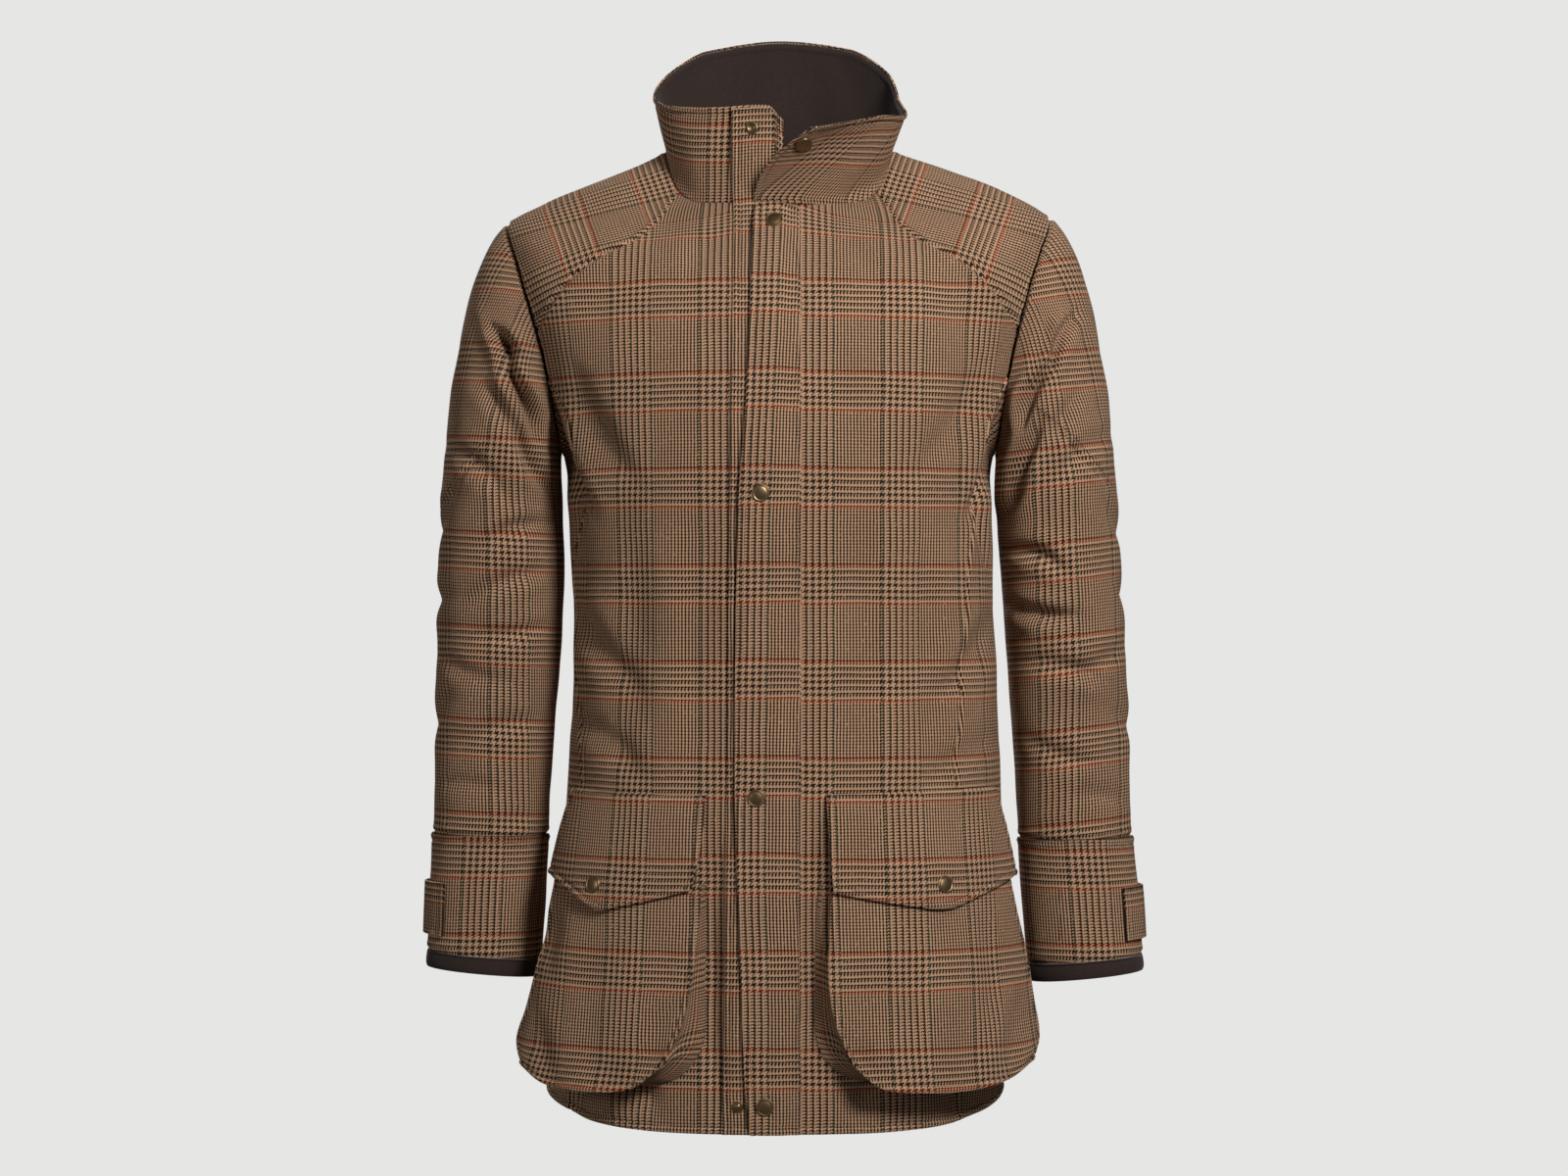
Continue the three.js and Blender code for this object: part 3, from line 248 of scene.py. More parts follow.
def run_lengths(points: np.ndarray, axis: int, used: Sequence[int] = (0, 1, 2)) -> np.ndarray:
    """Lengths run along one axis of a grid, counting only some of the coordinates."""
    steps = np.linalg.norm(np.diff(points[..., list(used)], axis=axis), axis=-1)
    start = np.zeros_like(np.take(steps, [0], axis=axis))
    return np.concatenate([start, np.cumsum(steps, axis=axis)], axis=axis)


def grid_normals(points: np.ndarray, closed: bool = False) -> np.ndarray:
    """Directions square to a grid; columns times rows points away from the cloth's inside."""
    if closed:
        across = np.roll(points, -1, axis=1) - np.roll(points, 1, axis=1)
    else:
        across = np.gradient(points, axis=1)
    return unit(np.cross(across, np.gradient(points, axis=0)))


# Form of the body.
@dataclass(frozen=True)
class Torso:
    """The body of the jacket as rings from the hem (row 0) to the neck (row 15).

    Each row: half widths left and right, their heights, depth line, front depth and height,
    back depth and height, power of the rounded outline, and how fast the height falls off.
    """

    rows: tuple = (
        (203, 200, -829, -829, 4, 148, -852, 142, -842, 2.3, 4.8),
        (199, 200, -760, -760, 4, 147, -772, 139, -768, 2.3, 4.0),
        (193, 199, -660, -660, 4, 144, -668, 133, -665, 2.3, 3.0),
        (186, 197, -560, -560, 4, 139, -566, 126, -563, 2.3, 3.0),
        (180, 194, -460, -460, 4, 135, -464, 121, -462, 2.3, 3.0),
        (182, 190, -370, -370, 4, 138, -374, 128, -372, 2.3, 3.0),
        (187, 190, -290, -290, 4, 142, -300, 137, -292, 2.3, 3.0),
        (200, 202, -235, -235, 4, 142, -252, 141, -236, 2.3, 3.0),
        (218, 219, -175, -173, 4, 138, -206, 140, -176, 2.3, 3.0),
        (234, 234, -125, -121, 4, 130, -166, 135, -127, 2.3, 3.0),
        (241, 242, -88, -83, 4, 121, -134, 127, -88, 2.3, 3.0),
        (238, 241, -64, -59, 4, 111, -108, 117, -56, 2.25, 3.2),
        (204, 207, -45, -38, 3, 100, -90, 106, -33, 2.2, 3.6),
        (166, 169, -29, -22, 2, 91, -75, 95, -13, 2.2, 4.4),
        (128, 130, -14, -9, 1, 83, -62, 83, 2, 2.2, 6.0),
        (98, 100, 0, 1, 0, 76, -50, 72, 12, 2.2, 9.0),
    )
    neck: float = 15.0
    armpit: float = 6.46
    shoulder: float = 11.0
    reach_front: float = 25 * DEG
    reach_back: float = 24 * DEG
    chart: dict = field(default_factory=dict, compare=False, hash=False)

    def ring(self, level: Numbers) -> list[np.ndarray]:
        """The eleven sizes of the ring at each level."""
        return read_rows(self.rows, level)

    def point(self, angle: Numbers, level: Numbers) -> np.ndarray:
        """Spot of the outer face at an angle from the centre front and a level."""
        left, right, left_z, right_z, side_y, front, front_z, back, back_z, square, drop = self.ring(level)
        sine, cosine = np.sin(angle), np.cos(angle)
        reach = (np.abs(sine) ** square + np.abs(cosine) ** square) ** (-1 / square)
        width = np.where(sine > 0, right, left)
        side_z = np.where(sine > 0, right_z, left_z)
        depth = np.where(cosine > 0, front, back)
        middle_z = np.where(cosine > 0, front_z, back_z)
        side = np.abs(sine) ** drop
        return np.stack([
            width * reach * sine, side_y * side - depth * reach * cosine, mix(middle_z, side_z, side)
        ], axis=-1)

    def normal(self, angle: Numbers, level: Numbers) -> np.ndarray:
        """Outward direction of the body there."""
        above = np.minimum(np.asarray(level) + 0.02, self.neck)
        below = np.maximum(above - 0.04, 0)
        across = self.point(angle + 0.004, level) - self.point(angle - 0.004, level)
        return unit(np.cross(across, self.point(angle, above) - self.point(angle, below)))

    def above(self, angle: Numbers, level: Numbers, height: Numbers) -> np.ndarray:
        """Spot at a height over the body."""
        return self.point(angle, level) + self.normal(angle, level) * np.asarray(height)[..., None]

    def find(self, x: Numbers, z: Numbers, height: Numbers = 0.0) -> Pair:
        """Angle and level of the front whose lifted spot is seen at x and z."""
        x, z, height = np.broadcast_arrays(*(np.asarray(value, float) for value in (x, z, height)))
        angle = np.where(x < 0, -1, 1) * np.arcsin(np.clip(np.abs(x) / 215, 0.02, 0.96))
        level = np.where(z < -300, (z + 850) / 92, 6 + (z + 300) / 30)
        step = 0.001
        for _ in range(40):
            level = np.clip(level, step, self.neck - 0.01)
            here = self.above(angle, level, height)
            turned = (self.above(angle + step, level, height) - here) / step
            raised = (self.above(angle, level + step, height) - here) / step
            miss_x, miss_z = here[..., 0] - x, here[..., 2] - z
            if np.max(np.abs(miss_x) + np.abs(miss_z)) < 1e-3:
                break
            scale = turned[..., 0] * raised[..., 2] - raised[..., 0] * turned[..., 2]
            scale = np.where(np.abs(scale) < 1e-6, 1e-6, scale)
            angle = angle - np.clip((miss_x * raised[..., 2] - miss_z * raised[..., 0]) / scale, -0.12, 0.12)
            level = level - np.clip((miss_z * turned[..., 0] - miss_x * turned[..., 2]) / scale, -0.8, 0.8)
            angle = np.clip(angle, -100 * DEG, 100 * DEG)
        return angle, level

    def armhole(self, turn: Numbers, side: Side) -> np.ndarray:
        """Angle and level on the armhole; turn 0 is the shoulder tip, a quarter turn the front."""
        reach = np.where(np.sin(turn) > 0, self.reach_front, self.reach_back)
        middle, half = (self.shoulder + self.armpit) / 2, (self.shoulder - self.armpit) / 2
        return np.stack(
            [side.value * (math.pi / 2 - reach * np.sin(turn)), middle + half * np.cos(turn)], axis=-1
        )

    def armhole_turn(self, height: float, side: Side) -> float:
        """Turn on the front of the armhole at a height."""
        turns = np.linspace(20 * DEG, 175 * DEG, 2000)
        places = self.armhole(turns, side)
        heights = self.point(places[:, 0], places[:, 1])[:, 2]
        return float(turns[np.argmin(np.abs(heights - height))])

    def seen_at(self, x: Numbers, level: Numbers) -> np.ndarray:
        """Angle of the front that is seen at x on a level."""
        low = np.full(np.broadcast(x, level).shape, -40 * DEG)
        high = -low
        for _ in range(30):
            middle = (low + high) / 2
            less = self.point(middle, level)[..., 0] < x
            low, high = np.where(less, middle, low), np.where(less, high, middle)
        return (low + high) / 2

    def flatten(self, places: np.ndarray, origin: float, by_level: bool) -> np.ndarray:
        """Angles and levels as lengths across from an angle, and heights or the levels themselves."""
        sizes = self.ring(places[..., 1])
        across = (places[..., 0] - origin) * (sizes[0] + sizes[1]) / 2
        return np.stack([across, places[..., 1] if by_level else sizes[6]], axis=-1)

    def unflatten(self, flat: np.ndarray, origin: float, by_level: bool) -> Pair:
        """Angles and levels of what flatten gives."""
        levels = np.linspace(0, self.neck, 151)
        level = flat[..., 1] if by_level else np.interp(flat[..., 1], self.ring(levels)[6], levels)
        sizes = self.ring(level)
        return origin + flat[..., 0] * 2 / (sizes[0] + sizes[1]), level

    def grain(self, angle: np.ndarray, level: np.ndarray) -> np.ndarray:
        """Cloth coordinates of the body: across from the centre front or back, and up the warp."""
        if not self.chart:
            angles = np.arange(0, 361) * DEG
            levels = np.linspace(0, self.neck, 301)
            grid = self.point(angles[None], levels[:, None])
            around = run_lengths(grid, 1, (0, 1))
            along = run_lengths(grid, 0)
            waist = 80
            along += (grid[waist, :, 2] - along[waist])[None]
            self.chart.update(around=around, along=along)
        turns = np.degrees(angle)
        column = np.mod(turns, 360.0)
        row = np.clip(np.asarray(level) * 20.0, 0, 299.999)
        i, j = row.astype(int), np.clip(column.astype(int), 0, 359)
        s, t = row - i, column - j

        def read(name: str) -> np.ndarray:
            """Chart value between its four nearest spots."""
            chart = self.chart[name]
            low = chart[i, j] * (1 - t) + chart[i, j + 1] * t
            high = chart[i + 1, j] * (1 - t) + chart[i + 1, j + 1] * t
            return low * (1 - s) + high * s

        around = self.chart["around"]
        whole = around[i, -1] * (1 - s) + around[i + 1, -1] * s
        across = read("around") - np.where(turns < 0, whole, 0.0)
        return np.stack([across, read("along")], axis=-1)


TORSO = Torso()


# Folds.
@dataclass(frozen=True)
class Fold:
    """One soft crease drawn as a bowed line on one view of the jacket.

    Args:
        facing: The view it is drawn in.
        ends: Its two ends in that view: x, z for front and back, y, z for the outside.
        width: Half width of the trough.
        depth: How deep it is; a negative depth is a ridge.
        bow: How far its middle stands off the straight line.
        roll: How high the cloth rolls up beside it, as a share of the depth.
        skew: Side on which the roll is higher, -1 to 1.
    """

    facing: Facing
    ends: tuple
    width: float
    depth: float
    bow: float = 0.0
    roll: float = 0.5
    skew: float = 0.0


@dataclass(frozen=True)
class FoldField:
    """Height of the cloth over its plain form from a list of folds.

    Args:
        folds: The folds.
        outward: Sign of X that counts as the outside.
        strength: By how much each fold is deepened.
        narrowing: By how much each fold is narrowed.
    """

    folds: Sequence[Fold]
    outward: float = 1.0
    strength: float = 1.0
    narrowing: float = 1.0

    def _view(self, fold: Fold, points: np.ndarray, normals: np.ndarray) -> tuple[np.ndarray, ...]:
        """Flat coordinates and weight of the points for one fold."""
        if fold.facing is Facing.OUTSIDE:
            weight = smooth((normals[..., 0] * self.outward - 0.1) / 0.5)
            return points[..., 1], points[..., 2], weight
        sign = -1 if fold.facing is Facing.FRONT else 1
        return points[..., 0], points[..., 2], smooth((normals[..., 1] * sign + 0.15) / 0.45)

    def heights(self, points: np.ndarray, normals: np.ndarray) -> np.ndarray:
        """Sum of all folds at the points.

        Args:
            points: Spots of the plain form.
            normals: Its outward directions there.

        Returns:
            Heights in millimetres, mostly negative.
        """
        total = np.zeros(points.shape[:-1])
        for fold in self.folds:
            x, z, weight = self._view(fold, points, normals)
            x0, z0, x1, z1 = fold.ends
            length = math.hypot(x1 - x0, z1 - z0)
            along = ((x - x0) * (x1 - x0) + (z - z0) * (z1 - z0)) / length**2
            off = ((x - x0) * (z1 - z0) - (z - z0) * (x1 - x0)) / length
            share = np.clip(along, 0, 1)
            off = off - fold.bow * 4 * share * (1 - share)
            beyond = (along - share) * length
            taper = np.sin(math.pi * np.clip(0.06 + 0.88 * share, 0, 1)) ** 0.8
            width = fold.width * self.narrowing * (0.65 + 0.35 * taper)
            end = np.exp(-((beyond / (1.4 * width)) ** 2))
            trough = np.exp(-((off / width) ** 2))
            left = np.exp(-(((off + 2.1 * width) / (1.3 * width)) ** 2)) * (1 + fold.skew)
            right = np.exp(-(((off - 2.1 * width) / (1.3 * width)) ** 2)) * (1 - fold.skew)
            total += weight * taper * end * fold.depth * (0.5 * fold.roll * (left + right) - trough)
        return total * self.strength


def creases(facing: Facing, *rows: Sequence[float]) -> list[Fold]:
    """Folds of one view, from rows of their four ends, half width, depth, bow, roll and skew."""
    return [Fold(facing, row[:4], *row[4:]) for row in rows]



# Creases of the body: two ends, half width, depth, bow, roll and skew.
BODY_FOLDS = [
    *creases(
        Facing.FRONT,
        (-196, -232, -160, -322, 9, 5.2, 6, 0.6, 0.3),
        (-184, -262, -174, -356, 8, 3.6, -4, 0.5),
        (-176, -200, -126, -292, 13, 2.8, 5, 0.5),
        (197, -230, 166, -322, 9, 5.0, -6, 0.6, -0.3),
        (188, -270, 180, -360, 8, 2.6, 4, 0.5),
        (176, -196, 122, -286, 13, 2.6, -5, 0.5),
        (-176, -400, -126, -470, 12, 2.8, 5, 0.6),
        (-176, -500, -118, -548, 12, 1.9, -5, 0.6),
        (186, -410, 140, -480, 12, 2.6, -6, 0.6),
        (188, -520, 128, -556, 12, 1.7, 5, 0.6),
        (-60, -300, -68, -540, 20, 2.2, 6, 0.5),
        (-128, -330, -134, -540, 22, 2.4, -6, 0.5),
        (128, -340, 140, -550, 22, 2.2, 6, 0.5),
        (72, -330, 64, -560, 22, 2.0, -6, 0.5),
        (-52, -600, -50, -835, 10, 3.2, 3, 0.6, 0.2),
        (30, -590, 30, -800, 9, 4.2, -2, 0.6, -0.2),
        (-100, -835, -150, -790, 14, 2.4, 4, 0.6),
        (60, -842, 96, -800, 13, 2.2, -4, 0.6),
        (-182, -850, -168, -790, 15, 2.6, 4, 0.6),
        (170, -848, 152, -800, 15, 2.2, -4, 0.6),
        (-48, -80, -76, -118, 11, 1.5, 5, 0.5),
        (56, -86, 84, -122, 11, 1.3, -5, 0.5),
        (-118, -92, -168, -190, 18, 1.3, 8, 0.5),
        (118, -92, 166, -186, 18, 1.2, -8, 0.5),
    ),
    *creases(
        Facing.BACK,
        (-196, -238, -128, -330, 13, 4.0, -8, 0.5),
        (-182, -286, -150, -400, 10, 2.6, -5, 0.5),
        (192, -230, 132, -322, 13, 3.6, 8, 0.5),
        (180, -292, 156, -396, 10, 2.4, 5, 0.5),
        (-150, -470, -70, -500, 14, 2.4, 6, 0.6),
        (150, -452, 62, -486, 14, 2.1, -6, 0.6),
        (-120, -520, 20, -532, 15, 1.8, 5, 0.6),
        (-60, -560, -74, -830, 22, 4.4, 8, 0.6),
        (64, -580, 82, -836, 24, 4.0, -8, 0.6),
        (-4, -600, 4, -820, 26, -2.2, 3, 0.3),
        (-138, -600, -150, -830, 18, 3.4, 6, 0.6),
        (142, -610, 148, -826, 18, 3.0, -6, 0.6),
        (-40, -36, -96, -60, 14, 1.8, 6, 0.5),
        (46, -40, 100, -62, 14, 1.6, -6, 0.5),
    ),
    *creases(
        Facing.OUTSIDE,
        (-60, -250, -20, -400, 12, 2.6, 6, 0.5),
        (70, -262, 40, -420, 14, 2.4, -6, 0.5),
        (20, -520, 30, -815, 20, 3.0, 5, 0.6),
        (84, -500, 96, -815, 18, 2.6, 5, 0.6),
    ),
]

# The same for the two sleeves.
LEFT_SLEEVE_FOLDS = [
    *creases(
        Facing.FRONT,
        (-251, -158, -231, -202, 7, 9.0, -5, 0.9, 0.5),
        (-238, -194, -212, -258, 7, 11.0, -5, 0.9, 0.2),
        (-240, -160, -222, -186, 6, 5.5, 3, 0.7),
        (-262, -142, -243, -212, 9, -2.6, -5, 0.3),
        (-228, -232, -204, -300, 8, 7.5, 4, 0.8),
        (-262, -205, -226, -272, 9, 4.2, -6, 0.7),
        (-290, -262, -232, -318, 10, 3.6, -8, 0.6),
        (-206, -330, -258, -352, 9, 4.8, 5, 0.7),
        (-204, -372, -270, -402, 10, 4.4, 6, 0.6),
        (-206, -420, -262, -428, 9, 3.6, -4, 0.6),
        (-296, -448, -236, -470, 11, 3.0, 5, 0.6),
        (-212, -505, -272, -520, 11, 2.8, 5, 0.6),
        (-296, -560, -244, -566, 10, 2.0, -4, 0.6),
        (-218, -590, -252, -604, 9, 2.2, 4, 0.6),
    ),
    *creases(
        Facing.BACK,
        (-290, -190, -212, -270, 12, 4.0, 8, 0.6),
        (-300, -262, -214, -330, 13, 3.4, 8, 0.6),
        (-298, -340, -214, -372, 12, 4.4, -6, 0.7),
        (-296, -392, -220, -404, 11, 3.8, 5, 0.7),
        (-302, -440, -222, -470, 13, 2.8, 6, 0.6),
        (-298, -530, -226, -545, 12, 2.0, 5, 0.6),
    ),
    *creases(
        Facing.OUTSIDE,
        (-46, -300, 40, -352, 13, 2.2, 6, 0.6),
        (-30, -392, 56, -420, 12, 2.6, -6, 0.6),
        (-36, -470, 44, -520, 13, 1.8, 6, 0.6),
        (-14, -150, 30, -235, 14, 1.6, 6, 0.5),
    ),
]
RIGHT_SLEEVE_FOLDS = [
    *creases(
        Facing.FRONT,
        (262, -148, 240, -196, 7, 8.0, 5, 0.9, -0.5),
        (242, -188, 214, -250, 7, 10.5, 6, 0.9, -0.2),
        (236, -150, 224, -192, 6, 5.0, -3, 0.7),
        (230, -232, 206, -292, 8, 8.0, -4, 0.8),
        (214, -268, 196, -330, 8, 5.4, -5, 0.8),
        (266, -214, 232, -286, 9, 4.0, 6, 0.7),
        (298, -250, 240, -300, 10, 3.2, 8, 0.6),
        (204, -352, 250, -372, 9, 5.0, -5, 0.7),
        (206, -402, 262, -412, 9, 5.6, 4, 0.7),
        (216, -452, 286, -470, 10, 3.4, -5, 0.6),
        (304, -440, 250, -462, 11, 2.6, -5, 0.6),
        (222, -520, 280, -540, 10, 2.8, 5, 0.6),
        (306, -575, 262, -570, 10, 2.0, 4, 0.6),
        (230, -600, 262, -612, 9, 2.0, -4, 0.6),
    ),
    *creases(
        Facing.BACK,
        (290, -182, 214, -262, 12, 3.8, -8, 0.6),
        (300, -270, 218, -322, 13, 3.2, -8, 0.6),
        (306, -352, 222, -370, 12, 4.2, 6, 0.7),
        (300, -398, 228, -420, 11, 3.4, -5, 0.7),
        (312, -452, 226, -462, 13, 2.6, -6, 0.6),
        (310, -540, 236, -552, 12, 1.8, -5, 0.6),
    ),
    *creases(
        Facing.OUTSIDE,
        (-48, -310, 36, -346, 13, 2.0, 6, 0.6),
        (-28, -380, 52, -424, 12, 2.4, -6, 0.6),
        (-36, -488, 48, -515, 13, 1.7, 6, 0.6),
        (-16, -142, 26, -222, 14, 1.5, 6, 0.5),
    ),
]


class Rumple:
    """Fine unevenness of hanging cloth as a few fixed waves across each other."""

    def __init__(self, seed: int, height: float = 0.35, shortest: float = 26.0) -> None:
        """Draws the directions and phases of the waves from a seed."""
        dice = np.random.default_rng(seed)
        self.ways = unit(dice.normal(size=(9, 3)) * np.array([1.0, 1.0, 0.55]))
        self.lengths = shortest * dice.uniform(1.0, 3.2, size=9)
        self.phases = dice.uniform(0, FULL_TURN, size=9)
        self.height = height

    def heights(self, points: np.ndarray) -> np.ndarray:
        """Height of the unevenness at each point."""
        total = np.zeros(points.shape[:-1])
        for way, length, phase in zip(self.ways, self.lengths, self.phases):
            total += np.sin(points @ way * (FULL_TURN / length) + phase) * (length / self.lengths.max())
        return total * self.height / 3


BODY_FIELD = FoldField(BODY_FOLDS, strength=2.3, narrowing=0.85)
BODY_RUMPLE = Rumple(11)


def armhole_clearance(angle: np.ndarray, level: np.ndarray) -> np.ndarray:
    """How far a place lies outside both armholes, as a share of their size."""
    nearest = np.full(np.broadcast(angle, level).shape, 9.0)
    middle, half = (TORSO.shoulder + TORSO.armpit) / 2, (TORSO.shoulder - TORSO.armpit) / 2
    turned = np.mod(np.asarray(angle) + math.pi, FULL_TURN) - math.pi
    for side in Side:
        across = (math.pi / 2 - side.value * turned) / TORSO.reach_front
        nearest = np.minimum(nearest, np.hypot(across, (level - middle) / half) - 1)
    return nearest


def body_swell(angle: np.ndarray, level: np.ndarray) -> np.ndarray:
    """Height of the hanging body cloth over its plain form at some places."""
    points, normals = TORSO.point(angle, level), TORSO.normal(angle, level)
    fade = smooth(armhole_clearance(angle, level) / 0.1) * smooth((TORSO.neck - level) / 0.8)
    return (BODY_FIELD.heights(points, normals) + BODY_RUMPLE.heights(points)) * fade


# Cloth pieces.
class Cloth:
    """One piece of cloth: its outer face as a grid, with its edges, creases and grain."""

    def __init__(
        self, name: str, points: np.ndarray, normals: np.ndarray, grain: np.ndarray,
        thickness: float = CLOTH, closed: bool = False,
    ) -> None:
        """Keeps the face.

        Args:
            name: Name of the piece.
            points: Spots of the outer face, rows by columns by 3.
            normals: Directions that show which way is out.
            grain: Cloth coordinates; a closed piece has one more column of them.
            thickness: Thickness of the cloth.
            closed: Whether the last column meets the first.
        """
        self.name = name
        self.points = points
        self.out = normals
        self.grain = grain
        self.thickness = thickness
        self.closed = closed

    def normals(self) -> np.ndarray:
        """Outward directions of the face as it now lies."""
        fresh = grid_normals(self.points, self.closed)
        return fresh * (1.0 if np.mean(np.sum(fresh * self.out, axis=-1)) > 0 else -1.0)

    def distances(self) -> dict[str, np.ndarray]:
        """Distance of every spot from each of the four sides, run along the cloth."""
        across, along = run_lengths(self.points, 1), run_lengths(self.points, 0)
        sides = {"bottom": along, "top": along[-1:] - along}
        if not self.closed:
            sides.update(first=across, last=across[:, -1:] - across)
        return sides

    def raise_by(self, height: np.ndarray) -> "Cloth":
        """Moves the face outward by a height at every spot."""
        self.points = self.points + self.normals() * height[..., None]
        return self

    def finish_edges(self, edges: dict[str, Edge], seed: int = 0) -> "Cloth":
        """Rolls the edges the way they are sewn.

        Args:
            edges: How each side is finished; a side left out stays plain.
            seed: Draws the unevenness of the sewing.

        Returns:
            The piece itself.
        """
        distances = self.distances()
        height = np.zeros(self.points.shape[:2])
        for side, kind in edges.items():
            off = distances[side]
            along = run_lengths(self.points, 1 if side in ("bottom", "top") else 0)
            height += self._edge_height(kind, off, along, seed + len(side))
        return self.raise_by(height)

    @staticmethod
    def _edge_height(kind: Edge, off: np.ndarray, along: np.ndarray, seed: int) -> np.ndarray:
        """Height of the cloth beside one finished edge."""
        dice = np.random.default_rng(seed)
        wave = np.zeros_like(off)
        for length in (8.5, 13.0, 21.0, 34.0):
            wave += np.sin(along * FULL_TURN / length + off * 0.12 + dice.uniform(0, FULL_TURN)) / 2.4
        if kind is Edge.SEAM:
            roll = 0.55 * np.exp(-(((off - 4.6) / 2.6) ** 2))
            return roll - 1.9 * np.exp(-((off / 2.0) ** 2)) + 0.3 * wave * np.exp(-(((off - 5) / 5) ** 2))
        if kind is Edge.FOLDED:
            roll = 0.9 * np.exp(-(((off - 2.8) / 2.2) ** 2)) - 0.3 * np.exp(-((off / 0.7) ** 2))
            groove = -0.9 * np.exp(-(((off - 6.2) / 1.2) ** 2))
            return roll + groove + 0.2 * wave * np.exp(-(((off - 7) / 5) ** 2))
        return np.zeros_like(off)

    def line_at(self, side: str, off: float) -> Pair:
        """Line that runs beside one edge.

        Args:
            side: The edge, as first, last, bottom or top.
            off: Distance from it.

        Returns:
            Spots of the line and the outward directions there.
        """
        distances, normals = self.distances()[side], self.normals()
        points = self.points
        if side in ("first", "last"):
            distances, points, normals = distances.T, points.swapaxes(0, 1), normals.swapaxes(0, 1)
        if side in ("last", "top"):
            distances, points, normals = distances[::-1], points[::-1], normals[::-1]
        spots, ways = [], []
        for column in range(distances.shape[1]):
            row = np.searchsorted(distances[:, column], off)
            row = int(np.clip(row, 1, len(distances) - 1))
            low, high = distances[row - 1, column], distances[row, column]
            t = (off - low) / max(high - low, 1e-6)
            spots.append(mix(points[row - 1, column], points[row, column], t))
            ways.append(normals[row, column])
        return np.array(spots), np.array(ways)

    def line_seen(self, corners: Sequence[Sequence[float]], aside: float = 0.0) -> Pair:
        """Line drawn on the piece as seen from the front.

        Args:
            corners: Its x and z.
            aside: How far beside them the line runs.

        Returns:
            Spots of the line and the outward directions there.
        """
        seen = line_through(corners, np.linspace(0, 1, 60))
        way = unit(np.gradient(seen, axis=0))
        seen = seen + np.stack([-way[:, 1], way[:, 0]], axis=1) * aside
        points, normals = self.points.reshape(-1, 3), self.normals().reshape(-1, 3)
        front = normals[:, 1] < -0.1
        points, normals = points[front], normals[front]
        gap = np.hypot(points[None, :, 0] - seen[:, :1], points[None, :, 2] - seen[:, 1:])
        near = np.argmin(gap, axis=1)
        spot, way = points[near], normals[near]
        rise = way[:, 0] * (seen[:, 0] - spot[:, 0]) + way[:, 2] * (seen[:, 1] - spot[:, 2])
        return np.stack([seen[:, 0], spot[:, 1] - rise / way[:, 1], seen[:, 1]], axis=1), way

    def build(self, slot: str, material: bpy.types.Material) -> bpy.types.Object:
        """Makes the thin closed shell of the piece.

        Args:
            slot: Name of a material slot; not used.
            material: Its finish.

        Returns:
            The object, riding the jacket's body.
        """
        rows, columns = self.points.shape[:2]
        normals = self.normals()
        inner = self.points - normals * self.thickness
        wrap = columns if self.closed else columns - 1
        at = np.arange(rows * columns).reshape(rows, columns)
        ahead = np.concatenate([at[:, 1:], at[:, :1]], axis=1)[:, :wrap]
        quads = np.stack([at[:-1, :wrap], ahead[:-1], ahead[1:], at[1:, :wrap]], axis=-1).reshape(-1, 4)
        wide = self.grain.shape[1]
        tag = np.arange(rows * wide).reshape(rows, wide)
        tags = np.stack(
            [tag[:-1, :wrap], tag[:-1, 1 : wrap + 1], tag[1:, 1 : wrap + 1], tag[1:, :wrap]], axis=-1
        ).reshape(-1, 4)
        faces = [quads, quads[:, ::-1] + rows * columns]
        marks = [tags, tags[:, ::-1]]
        spots = [self.points.reshape(-1, 3), inner.reshape(-1, 3)]
        rim_start = 2 * rows * columns
        for loop, loop_tags, outward in self._rims(at, tag, columns):
            rim = (self.points.reshape(-1, 3)[loop] + inner.reshape(-1, 3)[loop]) / 2
            spots.append(rim + outward * self.thickness * 0.28)
            ring = rim_start + np.arange(len(loop))
            rim_start += len(loop)
            near, far = loop, loop + rows * columns
            span = slice(None, -1)
            for low, high in ((near, ring), (ring, far)):
                next_low, next_high = np.roll(low, -1), np.roll(high, -1)
                faces.append(np.stack([low[span], high[span], next_high[span], next_low[span]], axis=-1))
                after = np.roll(loop_tags, -1)[span]
                marks.append(np.stack([loop_tags[span], loop_tags[span], after, after], axis=-1))
        piece = make_mesh(f"{self.name}_cloth", np.concatenate(spots), np.concatenate(faces), material)
        layer = piece.data.uv_layers.new(name="grain")
        grain = self.grain.reshape(-1, 2)[np.concatenate(marks).reshape(-1)] * MM
        layer.data.foreach_set("uv", grain.astype(np.float32).reshape(-1))
        return register(piece, slot)

